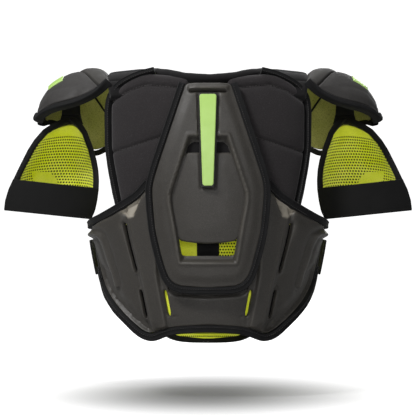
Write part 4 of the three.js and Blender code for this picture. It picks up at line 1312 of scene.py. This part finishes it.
# ---- The shoulder caps ----

CAP_SHELL, CAP_LINING, CAP_RIM = (-8.0, -0.9), (-8.4, -10.2), (-10.4, 0.7)
CAP_BADGE, CAP_TAG = (0.4, 1.9), (-11.6, -13.0)
CAP_SEAM_GAP = 0.004


def cap_chart(start, end, margin):
    """A chart of the cap from one seam to another, kept a margin inside its rims."""

    def chart(u, v):
        b = 2 * v - 1
        a = start(b) + (end(b) - start(b)) * u
        return a, b * (1 - margin / (90 - 50 * a * a))

    return chart


def inner_relief(a, b, gap):
    """The neck-side segment swells, and dips to its seams."""
    return 1.6 * smoothstep(gap / 12) - 0.6 * bell(b, 0.03)


def dome_relief(a, b, gap):
    """The dome's facets: a step where its outer side panel starts, and a crease along each side."""
    side = smoothstep((a - 0.70 - 0.06 * np.abs(b)) / 0.025)
    crease = bell(np.abs(b) - 0.72 + 0.5 * (a - 0.4), 0.05)
    return 1.2 * smoothstep(gap / 14) - 1.3 * side * smoothstep(gap / 6) - 0.5 * crease * (a > 0.4)


def caps():
    neck_chart = cap_chart(lambda b: 0.0, lambda b: cap_seam(b) - CAP_SEAM_GAP, 4.0)
    inner = sheet("cap_neck_segment_right", cap, CAP_SHELL, neck_chart, (30, 100), 3.5, inner_relief)
    place_pair(inner, "cap_inner", "cap_{side}", "cap_inner_segment_{side}")
    dome_chart = cap_chart(lambda b: cap_seam(b) + CAP_SEAM_GAP, lambda b: 0.95, 4.0)
    dome = sheet("cap_dome_right", cap, CAP_SHELL, dome_chart, (70, 110), 3.0, dome_relief)
    place_pair(dome, "cap_shell", "cap_{side}", "cap_shell_{side}")
    lining_chart = cap_chart(lambda b: 0.0, lambda b: 0.93, 2.5)
    liner = sheet("cap_lining_right", cap, CAP_LINING, lining_chart, (40, 70), 1.0)
    # The lining takes the darker olive copy of the lime liner, painted shade under the cap.
    place_pair(liner, "shaded_liner", "cap_{side}", "cap_liner_{side}")
    out = np.linspace(0.0, 0.98, 13)
    tip = [(0.995, b) for b in (-0.6, -0.2, 0.2, 0.6)]
    path = [(a, -1) for a in out] + tip + [(a, 1) for a in out[::-1]]
    rim = surface_tape("cap_edge_tape_right", cap, path, 7.8, CAP_RIM)
    place_pair(rim, "tape", "cap_{side}", "cap_rim_{side}")
    tab = sheet("cap_badge_right", cap, CAP_BADGE, badge_place, (16, 20), 1.0)
    place_pair(tab, "label", "cap_{side}", "cap_tab_{side}")
    loop = sheet("cap_lining_tag_right", cap, CAP_TAG, tag_place, (8, 16), 0.8)
    place_pair(loop, "tape", "cap_{side}")


def badge_place(u, v):
    return 0.57 + 0.15 * u, 0.3 * v - 0.42


def tag_place(u, v):
    return 0.24 - 0.17 * v, 0.42 + 0.2 * v + 0.035 * u


# ---- The arm guards ----

GUARD_SHELL, GUARD_LINER, GUARD_TAPE = (4.2, 1.2), (4.4, 6.6), (-0.8, 7.4)
GUARD_RISE = [(1, 0.02), (1, 0.16), (1, 0.3), (1, 0.44), (1, 0.58), (1, 0.72), (0.99, 0.83), (0.94, 0.91),
              (0.82, 0.965), (0.6, 0.99), (0.3, 0.998)]
HANGER_X, HANGER_Y = 199.5, 16.0
PERFORATED_TOP = 0.84


def guard_chart(u, v):
    """The part of the guard's surface that its shell and liner cover."""
    h = 0.02 + 0.93 * v
    return (2 * u - 1) * guard_reach(h), h


def guard_relief(t, h, gap):
    """Two long ribs down the outside of the guard and a border round it."""
    ribs = bell(np.abs(t) - 0.42, 0.03) + bell(t, 0.03)
    return 1.6 * smoothstep((gap - 8) / 4) - 1.6 * ribs * smoothstep((gap - 10) / 6)


def guard_mask(t, h):
    """Where the liner is perforated: not at the top, nor on a slanting patch low in the middle."""
    patch = (np.abs(t - 0.18 - 1.6 * (h - 0.33)) < 0.20) & (h < 0.46)
    return ((h < PERFORATED_TOP) & ~patch).astype(float)


def guard_uv(t, h, base):
    """A flat pattern whose rows of holes bend down towards the guard's edges."""
    girth = 84 - 40 * h * h
    return np.stack([t * girth, base[..., 2] + 11 * t * t * (1 - 0.6 * h)], -1)


def arm_guards():
    shell = sheet("arm_guard_shell_right", guard, GUARD_SHELL, guard_chart, (60, 60), 3.0, guard_relief)
    place_pair(shell, "cap_shell", "arm_{side}", "biceps_shell_{side}")
    liner = sheet("arm_guard_liner_right", guard, GUARD_LINER, guard_chart, (70, 70), 1.5,
                  attribute=guard_mask, uv=guard_uv)
    place_pair(liner, "liner", "arm_{side}", "biceps_liner_{side}")
    path = [(-t, h) for t, h in GUARD_RISE] + [(0, 1.0)] + GUARD_RISE[::-1]
    tape = surface_tape("arm_guard_tape_right", guard, path, 8.5, GUARD_TAPE)
    place_pair(tape, "tape", "arm_{side}", "biceps_binding_{side}")
    hanger = sheet("arm_hanger_tape_right", hanger_surface, (0.0, 4.0), whole, (16, 20), 1.5, step=PLAIN_STEP)
    place_pair(hanger, "tape", "hanger_{side}", "arm_hanger_{side}")
    loop = sheet("arm_guard_loop_right", loop_surface, (0.0, 4.4), whole, (16, 16), 1.5, step=PLAIN_STEP)
    place_pair(loop, "tape", "arm_{side}")
    strap = sheet("arm_elastic_right", arm_strap, (0.0, 2.5), lambda u, v: (2 * u - 1, v), (80, 30), 1.2,
                  step=PLAIN_STEP)
    place_pair(strap, "elastic", "arm_strap_{side}", "arm_strap_{side}")
    hook = sheet("arm_hook_right", arm_strap, (-0.4, -2.2), hook_place, (16, 16), 0.8, step=PLAIN_STEP)
    place_pair(hook, "fuzz", "arm_strap_{side}", "arm_strap_hook_{side}")


def hook_place(u, v):
    return -0.96 + 0.36 * u, 0.15 + 0.7 * v


def hanging(u, v, half, bottom, height):
    """An upright tape over the guard: half its width, its foot and its height."""
    x = HANGER_X + (2 * u - 1) * half
    return np.stack([x, np.full_like(u, HANGER_Y), bottom + height * v], -1)


def loop_surface(u, v):
    """The foot of the hanging tape, sewn over the top of the guard's binding."""
    return hanging(u, v, 14.0 + 3.5 * (1 - v), 325, 13.2)


def hanger_surface(u, v):
    return hanging(u, v, 11.5 + 2.5 * (1 - v), 338, 31)


# ---- The studio ----


FLOOR_Z, FLOOR_NEAR_Y, FLOOR_HALF_WIDTH = -0.065, -5.0, 6.0
WALL_Y, WALL_TOP, WALL_BEND, BEND_STEPS = 4.6, 4.5, 1.2, 12
# The painted shadow under the pads: its radii, its middle, its darkest share, and where its fade starts and
# ends.
POOL_RADII, POOL_Y, PAINTED_SHADOW_DARK = (0.15, 0.205), -0.02, 0.14
POOL_INNER, POOL_OUTER = 0.15, 2.35
# Lamps: place, size in metres and power in watts.
LAMPS = {
    "key": ((-1.3, -1.5, 2.3), 0.6, 54),
    "fill": ((0.1, -2.8, 0.9), 0.9, 15),
    "top": ((-0.1, 0.5, 2.0), 1.0, 12),
    "front": ((0.7, 2.7, 1.2), 1.2, 26),
}
LAMPS_AIM = (0, 0, 0.22)
CAMERA_AT, CAMERA_LENS, CAMERA_SENSOR = (0, -3.0, 0.203), 179, 36


def paper_look():
    """Pale paper with a painted soft, wide pool of shadow under the pads: its colour and its glow for the
    camera darken there.
    """
    look = Look("studio_paper", Roughness=0.95, Emission_Color=(1, 1, 1, 1))
    x, y = look.split(look.place)[:2]
    across = look.math("POWER", look.math("DIVIDE", x, POOL_RADII[0]), 2.0)
    ahead = look.math("DIVIDE", look.math("SUBTRACT", y, POOL_Y), POOL_RADII[1])
    spread = look.math("SQRT", look.math("ADD", across, look.math("POWER", ahead, 2.0)))
    sizes = {"Value": spread, "From Min": POOL_INNER, "From Max": POOL_OUTER, "To Min": PAINTED_SHADOW_DARK}
    shadow_pool = look.node("ShaderNodeMapRange", sizes, interpolation_type="SMOOTHSTEP").outputs[0]
    seen = look.node("ShaderNodeLightPath").outputs["Is Camera Ray"]
    # The paper's glow for the camera and its colour both dim in the pool: a painted shadow.
    look.give(look.shader.inputs["Emission Strength"], look.times(seen, shadow_pool))
    return look.finish(look.mix(shadow_pool, (0.0, 0.0, 0.0, 1), (0.5, 0.5, 0.5, 1)))


def studio_floor():
    """A pale floor that curves up into a backdrop."""
    rows = [(FLOOR_NEAR_Y, FLOOR_Z), (WALL_Y - WALL_BEND, FLOOR_Z)]
    for k in range(1, BEND_STEPS + 1):
        angle = math.pi / 2 * k / BEND_STEPS
        rows.append((WALL_Y - WALL_BEND + WALL_BEND * math.sin(angle),
                     FLOOR_Z + WALL_BEND - WALL_BEND * math.cos(angle)))
    rows.append((WALL_Y, WALL_TOP))
    vertices = [(x, y, z) for y, z in rows for x in (-FLOOR_HALF_WIDTH, FLOOR_HALF_WIDTH)]
    faces = [(2 * i, 2 * i + 1, 2 * i + 3, 2 * i + 2) for i in range(len(rows) - 1)]
    mesh = bpy.data.meshes.new("studio_floor")
    mesh.from_pydata(vertices, [], faces)
    mesh.polygons.foreach_set("use_smooth", np.ones(len(mesh.polygons), bool))
    mesh.materials.append(paper_look())
    floor = bpy.data.objects.new("studio_floor", mesh)
    bpy.context.scene.collection.objects.link(floor)


def studio_air():
    """A pale background for the camera, which lights the pads only faintly."""
    world = bpy.data.worlds.new("studio_air")
    world.use_nodes = True
    nodes, links = world.node_tree.nodes, world.node_tree.links
    air = nodes["Background"]
    air.inputs["Color"].default_value = (0.95, 0.97, 1.0, 1)
    strength = nodes.new("ShaderNodeMapRange")
    strength.inputs["To Min"].default_value, strength.inputs["To Max"].default_value = 0.1, 1.1
    links.new(nodes.new("ShaderNodeLightPath").outputs["Is Camera Ray"], strength.inputs["Value"])
    links.new(strength.outputs[0], air.inputs["Strength"])
    bpy.context.scene.world = world


def studio():
    """The floor, the air, four soft lamps and the camera straight behind the wearer."""
    studio_floor()
    studio_air()
    scene = bpy.context.scene
    for name, (at, size, power) in LAMPS.items():
        lamp = bpy.data.lights.new(name, "AREA")
        lamp.size, lamp.energy = size, power
        holder = bpy.data.objects.new(name, lamp)
        holder.location = at
        holder.rotation_euler = (Vector(LAMPS_AIM) - Vector(at)).to_track_quat("-Z", "Y").to_euler()
        scene.collection.objects.link(holder)
    camera = bpy.data.cameras.new("camera")
    camera.lens, camera.sensor_width = CAMERA_LENS, CAMERA_SENSOR
    scene.camera = bpy.data.objects.new("camera", camera)
    scene.camera.location = CAMERA_AT
    scene.camera.rotation_euler = (math.radians(90), 0, 0)
    scene.collection.objects.link(scene.camera)
    scene.view_settings.view_transform = "Standard"


back_half()
spine_guard()
front_half()
side_straps()
caps()
arm_guards()
studio()
